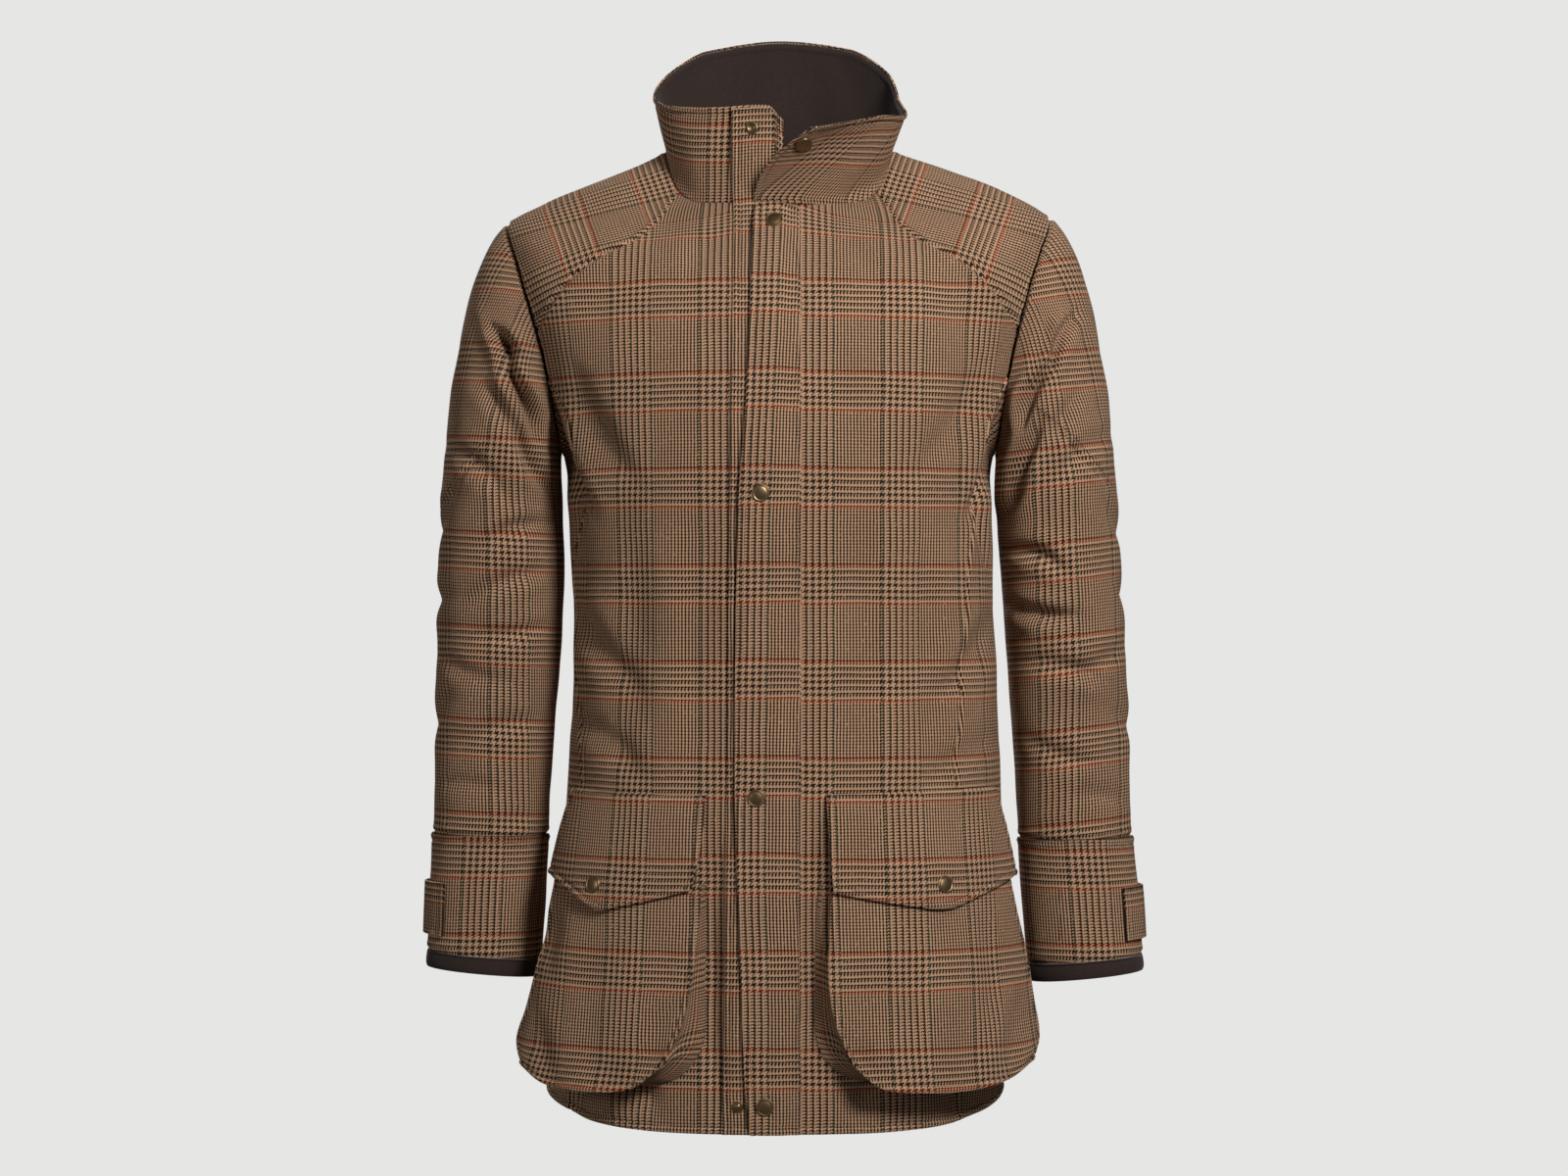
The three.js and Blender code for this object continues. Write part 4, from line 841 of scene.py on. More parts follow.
    def _rims(self, at: np.ndarray, tag: np.ndarray, columns: int) -> Iterator[tuple[np.ndarray, ...]]:
        """Yields each border loop with its grain tags and the directions away from the cloth."""
        if self.closed:
            for row, beside in ((0, 1), (-1, -2)):
                away = unit(self.points[row] - self.points[beside])
                loop = np.append(at[row], at[row, 0])
                if row == 0:
                    yield loop[::-1], tag[row][: columns + 1][::-1], np.append(away, away[:1], axis=0)[::-1]
                else:
                    yield loop, tag[row][: columns + 1], np.append(away, away[:1], axis=0)
            return
        away = np.zeros_like(self.points)
        for row, beside in ((0, 1), (-1, -2)):
            away[row] += unit(self.points[row] - self.points[beside])
        for column, beside in ((0, 1), (-1, -2)):
            away[:, column] += unit(self.points[:, column] - self.points[:, beside])
        rows, wide = at.shape
        path = [(0, c) for c in range(wide)] + [(r, -1) for r in range(1, rows)]
        path += [(-1, c) for c in range(wide - 2, -1, -1)] + [(r, 0) for r in range(rows - 2, -1, -1)]
        loop = np.array([at[spot] for spot in path])[::-1]
        tags = np.array([tag[spot] for spot in path])[::-1]
        ways = unit(np.array([away[spot] for spot in path]))[::-1]
        yield loop, tags, ways


def make_mesh(
    name: str, points: np.ndarray, faces: np.ndarray, material: bpy.types.Material
) -> bpy.types.Object:
    """Makes a smooth quad mesh whose faces look outward.

    Args:
        name: Name of the object.
        points: Corners in millimetres.
        faces: Quads of corner numbers.
        material: Finish of the mesh.

    Returns:
        The new object.
    """
    mesh = bpy.data.meshes.new(name)
    mesh.vertices.add(len(points))
    mesh.vertices.foreach_set("co", (points * MM).astype(np.float32).reshape(-1))
    mesh.loops.add(faces.size)
    mesh.loops.foreach_set("vertex_index", faces.astype(np.int32).reshape(-1))
    mesh.polygons.add(len(faces))
    mesh.polygons.foreach_set("loop_start", np.arange(0, faces.size, 4, dtype=np.int32))
    mesh.polygons.foreach_set("use_smooth", np.ones(len(faces), dtype=bool))
    mesh.update(calc_edges=True)
    mesh.materials.append(material)
    piece = bpy.data.objects.new(name, mesh)
    bpy.context.scene.collection.objects.link(piece)
    return piece


def register(piece: bpy.types.Object, slot: str) -> bpy.types.Object:
    """Hangs a piece on the jacket's body and logs how many faces it has."""
    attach(piece, BODY)
    log.info("%s: %d faces", piece.name, len(piece.data.polygons))
    return piece


# Body panels.
Line = Callable[[np.ndarray], np.ndarray]

# Angle of the side seams at each level: left, right and rear, in degrees from the centre front.
SIDE_SEAM = (
    (0, 60, 48, 118), (2, 60, 48, 117), (3, 62, 48.5, 116), (4, 72, 52.5, 115), (5, 75, 57, 114),
    (6, 62.5, 63, 112), (7, 59.5, 60, 110), (7.62, 68, 68, 109),
)
YOKE_SEAM = ((103, -66), (120.5, -82), (146, -96), (176, -117), (200, -146))
YOKE_NECK_FRONT = 57 * DEG
YOKE_NECK_BACK = 123 * DEG
YOKE_END_Z = -163
BACK_YOKE_LEVELS = (13.6, 12.3, 11.2, 10.3, 9.4)
BACK_YOKE_END = -103 * DEG
BACK_YOKE_BOW = 0.16
SIDE_FRONT_TURN = 118 * DEG
SIDE_BACK_TURN = 240 * DEG
SEAM_BLEND = 1.2
FLAT_SCALE = np.array([160.0, 60.0])


def joined(*parts: tuple[float, Line]) -> Line:
    """One line from several, each given with the share where it ends."""

    def line(shares: np.ndarray) -> np.ndarray:
        """Places at the shares of the whole line."""
        places = np.zeros((len(shares), 2))
        start = 0.0
        for end, part in parts:
            inside = (shares >= start) & (shares <= end)
            if inside.any():
                places[inside] = part((shares[inside] - start) / (end - start))
            start = end
        return places

    return line


def ring_line(start: float, end: float, level: float) -> Line:
    """Line round the body on one level."""
    return lambda shares: np.stack([mix(start, end, shares), np.full_like(shares, level)], axis=1)


def reverse(line: Line) -> Line:
    """The same line run the other way."""
    return lambda shares: line(1 - shares)


def turned_on(line: Line) -> Line:
    """The same line one whole turn further round the body."""
    return lambda shares: line(shares) + np.array([FULL_TURN, 0.0])


class SideLines:
    """Seam and armhole lines of one side of the body."""

    def __init__(self, side: Side) -> None:
        """Finds where the yoke meets the armhole and draws the yoke seams."""
        self.side = side
        self.yoke_turn = TORSO.armhole_turn(YOKE_END_Z, side)
        yoke_end = TORSO.armhole(self.yoke_turn, side)
        back_end = TORSO.armhole(BACK_YOKE_END, side)
        xs, zs = np.array(YOKE_SEAM, dtype=float).T
        angle, level = TORSO.find(side.value * xs, zs)
        neck_front = [side.value * YOKE_NECK_FRONT, TORSO.neck]
        front = np.vstack([neck_front, np.stack([angle, level], axis=1), yoke_end])
        t = np.arange(1, 6) / 6
        bow = side.value * BACK_YOKE_BOW * np.sin(math.pi * t)
        neck_back = side.value * YOKE_NECK_BACK
        middle = np.stack([mix(neck_back, back_end[0], t) + bow, np.array(BACK_YOKE_LEVELS)], axis=1)
        back = np.vstack([[neck_back, TORSO.neck], middle, back_end])
        self.yoke_front = self._flat_line(front)
        self.yoke_back = self._flat_line(back)

    @staticmethod
    def _flat_line(places: np.ndarray) -> Line:
        """Smooth line through places, evenly spread in flat lengths."""
        return lambda shares: line_through(places * FLAT_SCALE, shares) / FLAT_SCALE

    def arc(self, start: float, end: float) -> Line:
        """Part of the armhole between two turns."""
        return lambda shares: TORSO.armhole(mix(start, end, shares), self.side)

    def seam(self, column: int, turn: float) -> Line:
        """Side seam from the hem up to the armhole at a turn."""
        top_angle, top_level = TORSO.armhole(turn, self.side)
        rows = np.array(SIDE_SEAM, dtype=float)
        drawn = self.side.value * np.interp(top_level, rows[:, 0], rows[:, column]) * DEG

        def line(shares: np.ndarray) -> np.ndarray:
            """Places at the shares of the seam."""
            levels = shares * top_level
            angle = self.side.value * read_curve(SIDE_SEAM, levels, column) * DEG
            share = smooth((levels - top_level + SEAM_BLEND) / SEAM_BLEND)
            return np.stack([angle + share * (top_angle - drawn), levels], axis=1)

        return line

    @property
    def front_seam(self) -> Line:
        """Seam between the front and the side body."""
        return self.seam(1 if self.side is Side.LEFT else 2, SIDE_FRONT_TURN)

    @property
    def rear_seam(self) -> Line:
        """Seam between the side body and the back."""
        return self.seam(3, SIDE_BACK_TURN)


@dataclass
class BodyPanel:
    """Panel of the body between four lines of places.

    Args:
        name: Name of the piece.
        lines: Its bottom, top, first and last line.
        origin: Angle from which its flat widths are measured.
        size: Its width and length.
        kinks: Shares of its width and of its length where an edge turns a corner.
        edges: How its sides are finished.
        coarse: Spacing of its grid.
        rounds: How often its filled grid is evened out.
        by_level: Whether it is filled by levels instead of heights.
    """

    name: str
    lines: tuple
    origin: float
    size: tuple
    kinks: tuple
    edges: dict
    coarse: float = 3.2
    rounds: int = 0
    by_level: bool = False

    def _shares(self, axis: int) -> np.ndarray:
        """Shares of the grid along one side, with the corners exactly met."""
        sides = ("first", "last") if axis == 0 else ("bottom", "top")
        margins = tuple(self.edges.get(side, Edge.PLAIN) is not Edge.PLAIN for side in sides)
        shares = graded(self.size[axis], self.coarse, margins)
        for kink in self.kinks[axis]:
            shares[np.argmin(np.abs(shares - kink))] = kink
        return shares

    def cloth(self) -> Cloth:
        """The dressed piece."""
        u, v = self._shares(0), self._shares(1)
        lines = [line(shares) for line, shares in zip(self.lines, (u, u, v, v))]
        sides = [TORSO.flatten(line, self.origin, self.by_level) for line in lines]
        flat = relaxed(fill_at(sides, u, v), u, v, self.rounds)
        angle, level = TORSO.unflatten(flat, self.origin, self.by_level)
        points, normals = TORSO.point(angle, level), TORSO.normal(angle, level)
        grain = self.grain(points, angle, level)
        swell = body_swell(angle, level)
        piece = Cloth(self.name, points + normals * swell[..., None], normals, grain)
        return piece.finish_edges(self.edges, len(self.name))

    def grain(self, points: np.ndarray, angle: np.ndarray, level: np.ndarray) -> np.ndarray:
        """Cloth coordinates of the panel, straight along its own middle."""
        found = TORSO.grain(angle, level)
        if self.origin:
            found[..., 0] -= TORSO.grain(np.full_like(level, self.origin), level)[..., 0]
        return found


YOKE_TILT = 20 * DEG
YOKE_GREEN = (-18.9, 0.0977)
FIRST_RED = -366.4
FIRST_GREEN = 46.6


@dataclass
class YokePanel(BodyPanel):
    """Shoulder yoke; its warp runs along the shoulder."""

    side: Side = Side.LEFT

    def grain(self, points: np.ndarray, angle: np.ndarray, level: np.ndarray) -> np.ndarray:
        """Cloth coordinates: over the shoulder from its front stripe, and along the shoulder."""
        mirror = self.side.value
        out = mirror * points[..., 0] * math.cos(YOKE_TILT) - points[..., 2] * math.sin(YOKE_TILT)
        rise = mirror * points[..., 0] * math.sin(YOKE_TILT) + points[..., 2] * math.cos(YOKE_TILT)
        over = run_lengths(np.stack([points[..., 1], rise], axis=-1), 1, (0, 1))
        stripe = YOKE_GREEN[0] + YOKE_GREEN[1] * out
        crossing = np.argmin(np.abs(rise - stripe) + np.where(points[..., 1] > 0, 1e3, 0), axis=1)
        before = np.maximum(crossing - 1, 0)[:, None]
        after = np.minimum(crossing + 1, over.shape[1] - 1)[:, None]

        def read(values: np.ndarray, column: np.ndarray) -> np.ndarray:
            """One value of each row."""
            return np.take_along_axis(values, column, axis=1)

        miss = rise - stripe
        slope = (read(over, after) - read(over, before)) / (read(miss, after) - read(miss, before))
        start = read(over, crossing[:, None]) - np.clip(read(miss, crossing[:, None]) * slope, -3, 3)
        return np.stack([FIRST_GREEN + 44.9 + over - start, FIRST_RED + 176.7 - out], axis=-1)


class Body:
    """The seven panels that make the body of the jacket."""

    def __init__(self) -> None:
        """Draws the seam lines of both sides."""
        self.lines = {side: SideLines(side) for side in Side}

    def panels(self) -> list[BodyPanel]:
        """All panels, from the fronts to the back."""
        seamed = {"last": Edge.SEAM, "top": Edge.SEAM, "bottom": Edge.FOLDED}
        around = {"first": Edge.SEAM, **seamed}
        whole = {side: Edge.SEAM for side in ("first", "last", "top", "bottom")}
        found: list[BodyPanel] = []
        for side in Side:
            lines, sign = self.lines[side], side.value
            hem_front, hem_rear = lines.front_seam(np.zeros(1))[0, 0], lines.rear_seam(np.zeros(1))[0, 0]
            neck = ring_line(0, sign * YOKE_NECK_FRONT, TORSO.neck)
            top = joined((0.4, neck), (1, lines.yoke_front))
            outside = joined((15 / 16, lines.front_seam), (1, lines.arc(SIDE_FRONT_TURN, lines.yoke_turn)))
            centre = lambda shares: np.stack([np.zeros_like(shares), shares * TORSO.neck], axis=1)
            found.append(BodyPanel(
                f"front_{side.word}", (ring_line(0, hem_front, 0), top, centre, outside), 0.0,
                (205, 800), ((0.4,), (15 / 16,)), seamed, 3.5, 60,
            ))
            under = lines.arc(SIDE_FRONT_TURN, SIDE_BACK_TURN)
            hem = ring_line(hem_front, hem_rear, 0)
            found.append(BodyPanel(
                f"side_{side.word}", (hem, under, lines.front_seam, lines.rear_seam),
                sign * math.pi / 2, (170, 610), ((), ()), around, 4.0,
            ))
            shoulder = ring_line(sign * YOKE_NECK_FRONT, sign * YOKE_NECK_BACK, TORSO.neck)
            armhole = lines.arc(lines.yoke_turn, BACK_YOKE_END)
            found.append(YokePanel(
                f"yoke_{side.word}",
                (armhole, shoulder, reverse(lines.yoke_front), reverse(lines.yoke_back)),
                sign * math.pi / 2, (170, 150), ((), ()), whole, 2.8, by_level=True, side=side,
            ))
        found.append(self._back(around))
        return found

    def _back(self, edges: dict) -> BodyPanel:
        """The back in one piece, from the right side round to the left."""
        right, left = self.lines[Side.RIGHT], self.lines[Side.LEFT]
        start, end = right.rear_seam(np.zeros(1))[0, 0], left.rear_seam(np.zeros(1))[0, 0] + FULL_TURN
        neck = ring_line(YOKE_NECK_BACK, FULL_TURN - YOKE_NECK_BACK, TORSO.neck)
        top = joined((0.3, reverse(right.yoke_back)), (0.7, neck), (1, turned_on(left.yoke_back)))
        back_arcs = [lines.arc(SIDE_BACK_TURN, BACK_YOKE_END + FULL_TURN) for lines in (right, left)]
        first = joined((15 / 17, right.rear_seam), (1, back_arcs[0]))
        last = turned_on(joined((15 / 17, left.rear_seam), (1, back_arcs[1])))
        return BodyPanel(
            "back", (ring_line(start, end, 0), top, first, last), math.pi,
            (400, 830), ((0.3, 0.7), (15 / 17,)), edges, 4.6, rounds=60,
        )


# Sleeves.
@dataclass
class Sleeve:
    """A set-in sleeve as sections down the arm; turn 0 is the outside, a quarter turn the front.

    Args:
        side: Side of the jacket.
        rows: Height, middle x, half width, middle y, half depth and tilt of each section.
        folds: Its creases.
        stripe: Heights and distances of a stripe from the middle of the front.
        weft: Height, x and tilt that place the rows of the check.
        cuff_stripe: The same distance for the cuff.
        dart: Elbow seam as seen from the front.
        pleat: Upright row of stitches on the cuff.
        square: Power of the rounded sections.
        dart_groove: Half width, depth, bow and roll of the elbow seam's groove.
    """

    side: Side
    rows: tuple
    folds: list
    stripe: tuple
    weft: tuple
    cuff_stripe: float
    cuff_weft: float
    dart: tuple
    pleat: tuple
    square: float = 2.15
    dart_groove: tuple = (3.0, 2.8, 0.0, 0.9)

    def section(self, turn: Numbers, at: Numbers, step: Numbers = 0.0) -> np.ndarray:
        """Spot of a section at a turn; step is how far outside the sleeve it stands."""
        z, x, wide, y, deep, tilt = read_rows(self.rows, at)
        cosine, sine = np.cos(turn), np.sin(turn)
        reach = (np.abs(sine) ** self.square + np.abs(cosine) ** self.square) ** (-1 / self.square)
        return np.stack([
            x + self.side.value * (wide + step) * reach * cosine,
            y - (deep + step) * reach * sine,
            z + tilt * reach * cosine,
        ], axis=-1)

    def cap(self, turn: np.ndarray, t: np.ndarray) -> np.ndarray:
        """Spot of the sleeve cap between the armhole and the first section."""
        place = TORSO.armhole(turn, self.side)
        cosine = np.cos(turn)
        start = unit(np.stack([
            self.side.value * (0.5 + 0.4 * cosine), -0.35 * np.sin(turn), 0.25 * cosine - 0.75
        ], axis=-1))
        angle, level = place[..., 0], place[..., 1]
        begin = TORSO.point(angle, level)
        end = self.section(turn, 0.0)
        leaving = unit(self.section(turn, 0.1) - end)
        pull = np.linalg.norm(begin - end, axis=-1, keepdims=True) * 0.6
        t = np.asarray(t)[..., None]
        return (
            begin * (2 * t**3 - 3 * t**2 + 1)
            + start * pull * (t**3 - 2 * t**2 + t)
            + end * (3 * t**2 - 2 * t**3)
            + leaving * pull * (t**3 - t**2)
        )

    def turns(self, columns: int) -> np.ndarray:
        """Turns of the columns, starting and ending at the inner side of the arm."""
        return math.pi + np.linspace(0, FULL_TURN, columns + 1)

    def check_grain(
        self, points: np.ndarray, stripe: tuple, anchor: float, shift: float, tilt: tuple
    ) -> np.ndarray:
        """Cloth coordinates of a tube of cloth round the arm.

        Args:
            points: Its spots, with the first column repeated at the end.
            stripe: Heights and distances of a stripe from the middle of the front.
            shift: Difference of the cloth height from z there.
            tilt: How the rows drop across the arm, and the x they turn about.

        Returns:
            Coordinates across and along the warp.
        """
        around, along = run_lengths(points, 1), run_lengths(points, 0)
        front = int(round(0.75 * (points.shape[1] - 1)))
        across = -self.side.value * (around - around[:, front : front + 1])
        heights, offsets = np.array(stripe, dtype=float).T
        drift = np.interp(-points[:, front, 2], -heights, offsets)[:, None]
        row = int(np.argmin(np.abs(points[:, front, 2] - anchor)))
        level = points[row, :, 2] + shift + tilt[0] * (points[row, :, 0] - tilt[1])
        return np.stack([91.5 + across - drift, level[None] - (along - along[row][None])], axis=-1)

    def cloth(self) -> Cloth:
        """The dressed sleeve down to the cuff seam."""
        turn = self.turns(120)[None]
        t = graded(170, 3.4, (True, False))[:, None]
        at = np.concatenate([np.linspace(0, 4.6, 112)[1:], np.linspace(4.6, 5.0, 14)[1:]])[:, None]
        points = np.concatenate([self.cap(turn, t), self.section(turn, at)])
        down = np.concatenate([np.zeros(len(t)), at[:, 0]])[:, None]
        height, x, tilt = self.weft
        grain = self.check_grain(points, self.stripe, height, x, tilt)
        run = run_lengths(points, 0)[:, :-1]
        points = points[:, :-1]
        piece = Cloth(f"sleeve_{self.side.word}", points, self._outward(points), grain, closed=True)
        normals = piece.normals()
        field = FoldField(self.folds, self.side.value, 1.45, 0.72)
        height = field.heights(points, normals) + Rumple(31 + self.side.value, 0.6).heights(points)
        (x0, z0), _, (x1, z1) = self.dart
        groove = FoldField(creases(Facing.FRONT, (x0, z0, x1, z1, *self.dart_groove)))
        height += groove.heights(points, normals)
        piece.raise_by(height * smooth(run / 9) * smooth((5 - down) / 0.5))
        return piece.finish_edges({"bottom": Edge.SEAM, "top": Edge.SEAM}, 5 + self.side.value)

    def _outward(self, points: np.ndarray) -> np.ndarray:
        """Directions from the middle of each ring to its spots."""
        return unit(points - points.mean(axis=1, keepdims=True))

    def cuff(self) -> Cloth:
        """The band of cloth below the sleeve."""
        turn = self.turns(124)[None]
        at = np.linspace(5.012, 6.985, 44)[:, None]
        points = self.section(turn, at, 1.2)
        anchor = points[0, :, 2].mean()
        stripe = ((0, self.cuff_stripe), (-900, self.cuff_stripe))
        grain = self.check_grain(points, stripe, anchor, self.cuff_weft, (0.0, 0.0))
        points = points[:, :-1]
        piece = Cloth(f"cuff_{self.side.word}", points, self._outward(points), grain, closed=True)
        piece.raise_by(Rumple(41 + self.side.value, 0.5).heights(points))
        return piece.finish_edges({"bottom": Edge.FOLDED, "top": Edge.SEAM}, 9 + self.side.value)

    def binding(self) -> Cloth:
        """The rounded binding round the end of the cuff."""
        turn = self.turns(124)[None]
        share = np.linspace(0, 1, 12)[:, None]
        swell = 1.1 * np.sin(math.pi * share) ** 0.6
        points = self.section(turn, 7.0 + 0.9 * share, 0.0)
        rings = self._outward(points)
        points = points + rings * (1.2 + swell)[..., None]
        grain = np.stack([run_lengths(points, 1), -run_lengths(points, 0)], axis=-1)
        points = points[:, :-1]
        return Cloth(f"cuff_binding_{self.side.word}", points, self._outward(points), grain, 2.8, closed=True)

    def tab(self) -> Cloth:
        """The narrow tab on the outside of the cuff."""
        turn = np.linspace(50 * DEG, -58 * DEG, 44)[None]
        at = np.linspace(5.81, 6.64, 14)[:, None]
        stand = SEAM_GAP + 2.0 * smooth(1 - np.abs(turn) / (45 * DEG))
        points = self.section(turn, at, 1.2 + CLOTH + 0.4 + stand)
        around = run_lengths(points, 1)
        grain = np.stack([60 + around, -300 - run_lengths(points, 0)], axis=-1)
        middle = self.section(0.0, 6.2) - np.array([self.side.value * 50, 0, 0])
        piece = Cloth(f"cuff_tab_{self.side.word}", points, unit(points - middle), grain)
        edges = {side: Edge.FOLDED for side in ("first", "last")}
        return piece.finish_edges(edges, 3)


LEFT_SLEEVE = Sleeve(
    Side.LEFT,
    (
        (-304, -244.5, 53.0, 12, 73, 10), (-370, -245.5, 55.5, 15, 69, 4), (-430, -247.5, 55.5, 18, 64, 2),
        (-509, -251.6, 53.2, 20, 57, 0), (-561, -254, 51.6, 19, 52, 0), (-605, -255.5, 51.0, 17, 49, 1),
        (-660, -258, 50.5, 14, 47, 3), (-712, -260.5, 49.5, 11, 46, 4), (-728, -261.5, 48.8, 10, 45, 4.5),
    ),
    LEFT_SLEEVE_FOLDS,
    ((-100, -16), (-274, -12), (-355, -7.4), (-509, -1.1), (-587, 3.5)),
    (-420.8, 53.4, (0.043, -246)),
    -19.6, 75.8,
    ((-251, -258), (-273, -280), (-298, -317)),
    ((-244, -648), (-244.5, -684)),
)
RIGHT_SLEEVE = Sleeve(
    Side.RIGHT,
    (
        (-304, 247.5, 53.5, 12, 73, 10), (-370, 252.5, 53.0, 15, 69, 4), (-430, 256.5, 52.8, 18, 64, 2),
        (-509, 261, 52.0, 20, 57, 0), (-561, 263.8, 50.8, 19, 52, 0), (-608, 265.5, 50.2, 17, 49, 1),
        (-664, 270, 50.8, 14, 47, 3), (-716, 273.5, 50.0, 11, 46, 4), (-732, 274.8, 49.2, 10, 45, 5),
    ),
    RIGHT_SLEEVE_FOLDS,
    ((-100, -18), (-274, -22), (-355, -25), (-439, -27.4), (-524, -32.2), (-587, -35.4)),
    (-429.1, 61.7, (-0.113, 254)),
    -11.0, 2.6,
    ((219, -227), (256, -256), (295, -300)),
    ((248.6, -652), (249, -696)),
)


# Collar.
@dataclass(frozen=True)
class Collar:
    """Stand collar; bearing runs from the left front end round the back to the right one.

    Each row: bearing, height of the upper edge, how far that edge leans out, how far its foot
    stands out and how far the upper edge is turned back.
    """

    rows: tuple = (
        (3, 20, 3, 0, 0), (-4, 32, 4, 0, 0), (-30, 31, 6, 0, 0), (-60, 36, 9, 0, 0), (-90, 50, 12, 0, 0),
        (-115, 74, 8, 0, 0), (-140, 97, 3, 0, 0), (-180, 108, -1, 0, 0), (-220, 99, 3, 0, 0),
        (-245, 75, 8, 0, 0), (-270, 46, 9, 0, 0), (-300, 27, 24, 0.5, 3), (-325, 22, 34, 2.5, 9),
        (-345, 15, 40, 7.0, 16), (-371, 6, 44, 7.6, 24),
    )
    cloth_thickness: float = 1.6
    lining_thickness: float = 1.2

    @staticmethod
    def _outward(angle: Numbers) -> np.ndarray:
        """Level direction square to the neck edge."""
        ahead = TORSO.point(angle + 0.01, TORSO.neck) - TORSO.point(angle - 0.01, TORSO.neck)
        return unit(np.stack([ahead[..., 1], -ahead[..., 0], np.zeros_like(ahead[..., 0])], axis=-1))

    def point(self, bearing: Numbers, height: Numbers, lift: Numbers = 0.0) -> np.ndarray:
        """Spot of the outer face; height is 0 at the neck seam and 1 at the upper edge."""
        bearing, height = np.broadcast_arrays(np.asarray(bearing, float), np.asarray(height, float))
        top_z, lean, step, swing = (read_curve(self.rows, bearing, k) for k in (1, 2, 3, 4))
        foot_angle, top_angle = bearing * DEG, (bearing + swing) * DEG
        out = (step + lift)[..., None] if np.ndim(step + lift) else step + lift
        foot = TORSO.point(foot_angle, TORSO.neck) + self._outward(foot_angle) * out
        top = TORSO.point(top_angle, TORSO.neck) + self._outward(top_angle) * out
        raised = np.maximum(height, 0.0)
        turned = raised**1.8
        roll = lean * raised**1.5 + 2.5 * np.sin(math.pi * raised)
        spot = mix(foot, top, turned[..., None])
        spot = spot + self._outward(mix(foot_angle, top_angle, turned)) * roll[..., None]
        spot[..., 2] = mix(foot[..., 2] + 0.3, top_z, height)
        return spot

    def seat(self, bearing: float, height: float, lift: float) -> tuple[np.ndarray, np.ndarray]:
        """Spot and outward direction for a snap."""
        across = self.point(bearing - 0.5, height) - self.point(bearing + 0.5, height)
        rise = self.point(bearing, height + 0.01) - self.point(bearing, height - 0.01)
        return self.point(bearing, height, lift), unit(np.cross(rise, across))

    def cloth(self) -> Cloth:
        """The tweed outside of the collar."""
        bearings = mix(3.0, -371.0, graded(640, 2.8))[None]
        heights = mix(-0.06, 1.0, graded(92, 2.4))[:, None]
        points = self.point(bearings, heights)
        normals = self._outward(np.broadcast_to(bearings, points.shape[:2]) * DEG)
        around = run_lengths(points, 1)
        middle = np.array([np.interp(0.0, -bearings[0], row) for row in around])[:, None]
        along = run_lengths(points, 0)
        left = int(np.argmin(np.abs(bearings[0] + 25)))
        row = int(np.argmin(np.abs(points[:, left, 2] - 15.8)))
        grain = np.stack([-(around - middle) - 4, FIRST_RED - 1 + along - along[row][None]], axis=-1)
        piece = Cloth("collar", points, normals, grain, self.cloth_thickness)
        field = FoldField(COLLAR_FOLDS)
        fade = smooth(heights / 0.12)
        piece.raise_by((field.heights(points, piece.normals()) + Rumple(61, 0.5).heights(points)) * fade)
        edges = {"first": Edge.FOLDED, "last": Edge.FOLDED, "top": Edge.FOLDED, "bottom": Edge.SEAM}
        return piece.finish_edges(edges, 4)

    def lining(self, collar: Cloth) -> Cloth:
        """The brushed lining inside the collar."""
        inset = self.cloth_thickness + SEAM_GAP
        points = collar.points - collar.normals() * inset
        faces = (grid[:-2, 1:-1] for grid in (points, collar.out, collar.grain))
        return Cloth("collar_lining", *faces, self.lining_thickness)


COLLAR = Collar()
COLLAR_FOLDS = [
    *creases(
        Facing.FRONT,
        (-86, 22, -80, -44, 10, 1.8, 4, 0.5),
        (-46, 26, -52, -46, 12, 1.0, -3, 0.5),
        (80, 0, 26, -56, 11, -1.8, -6, 0.5),
        (100, -8, 60, -52, 9, 1.8, -4, 0.5),
        (58, 0, 30, -20, 8, 1.2, 3, 0.5),
    ),
    *creases(
        Facing.BACK,
        (-60, 80, -66, 6, 13, 1.6, 4, 0.5),
        (48, 84, 58, 4, 14, 1.8, -4, 0.5),
        (-8, 96, 0, 14, 16, 1.2, 3, 0.5),
    ),
]


# Front edge.
# Height, free edge of the covering flap, free edge of the strip, and the stripe on the flap.
FRONT_EDGES = (
    (-850, -23.0, -47.0, -7.6), (-810, -27.0, -46.5, -7.8), (-724, -30.0, -45.0, -8.4),
    (-638, -33.2, -43.5, -10.7), (-554, -35.4, -42.5, -10.2), (-413, -34.3, -41.3, -8.4),
    (-307, -31.6, -39.7, -6.6), (-216, -25.7, -38.8, -2.8), (-142, -23.2, -37.8, 0.4),
    (-70, -20.5, -37.5, 2.6), (-50, -17.0, -37.5, 3.0),
)


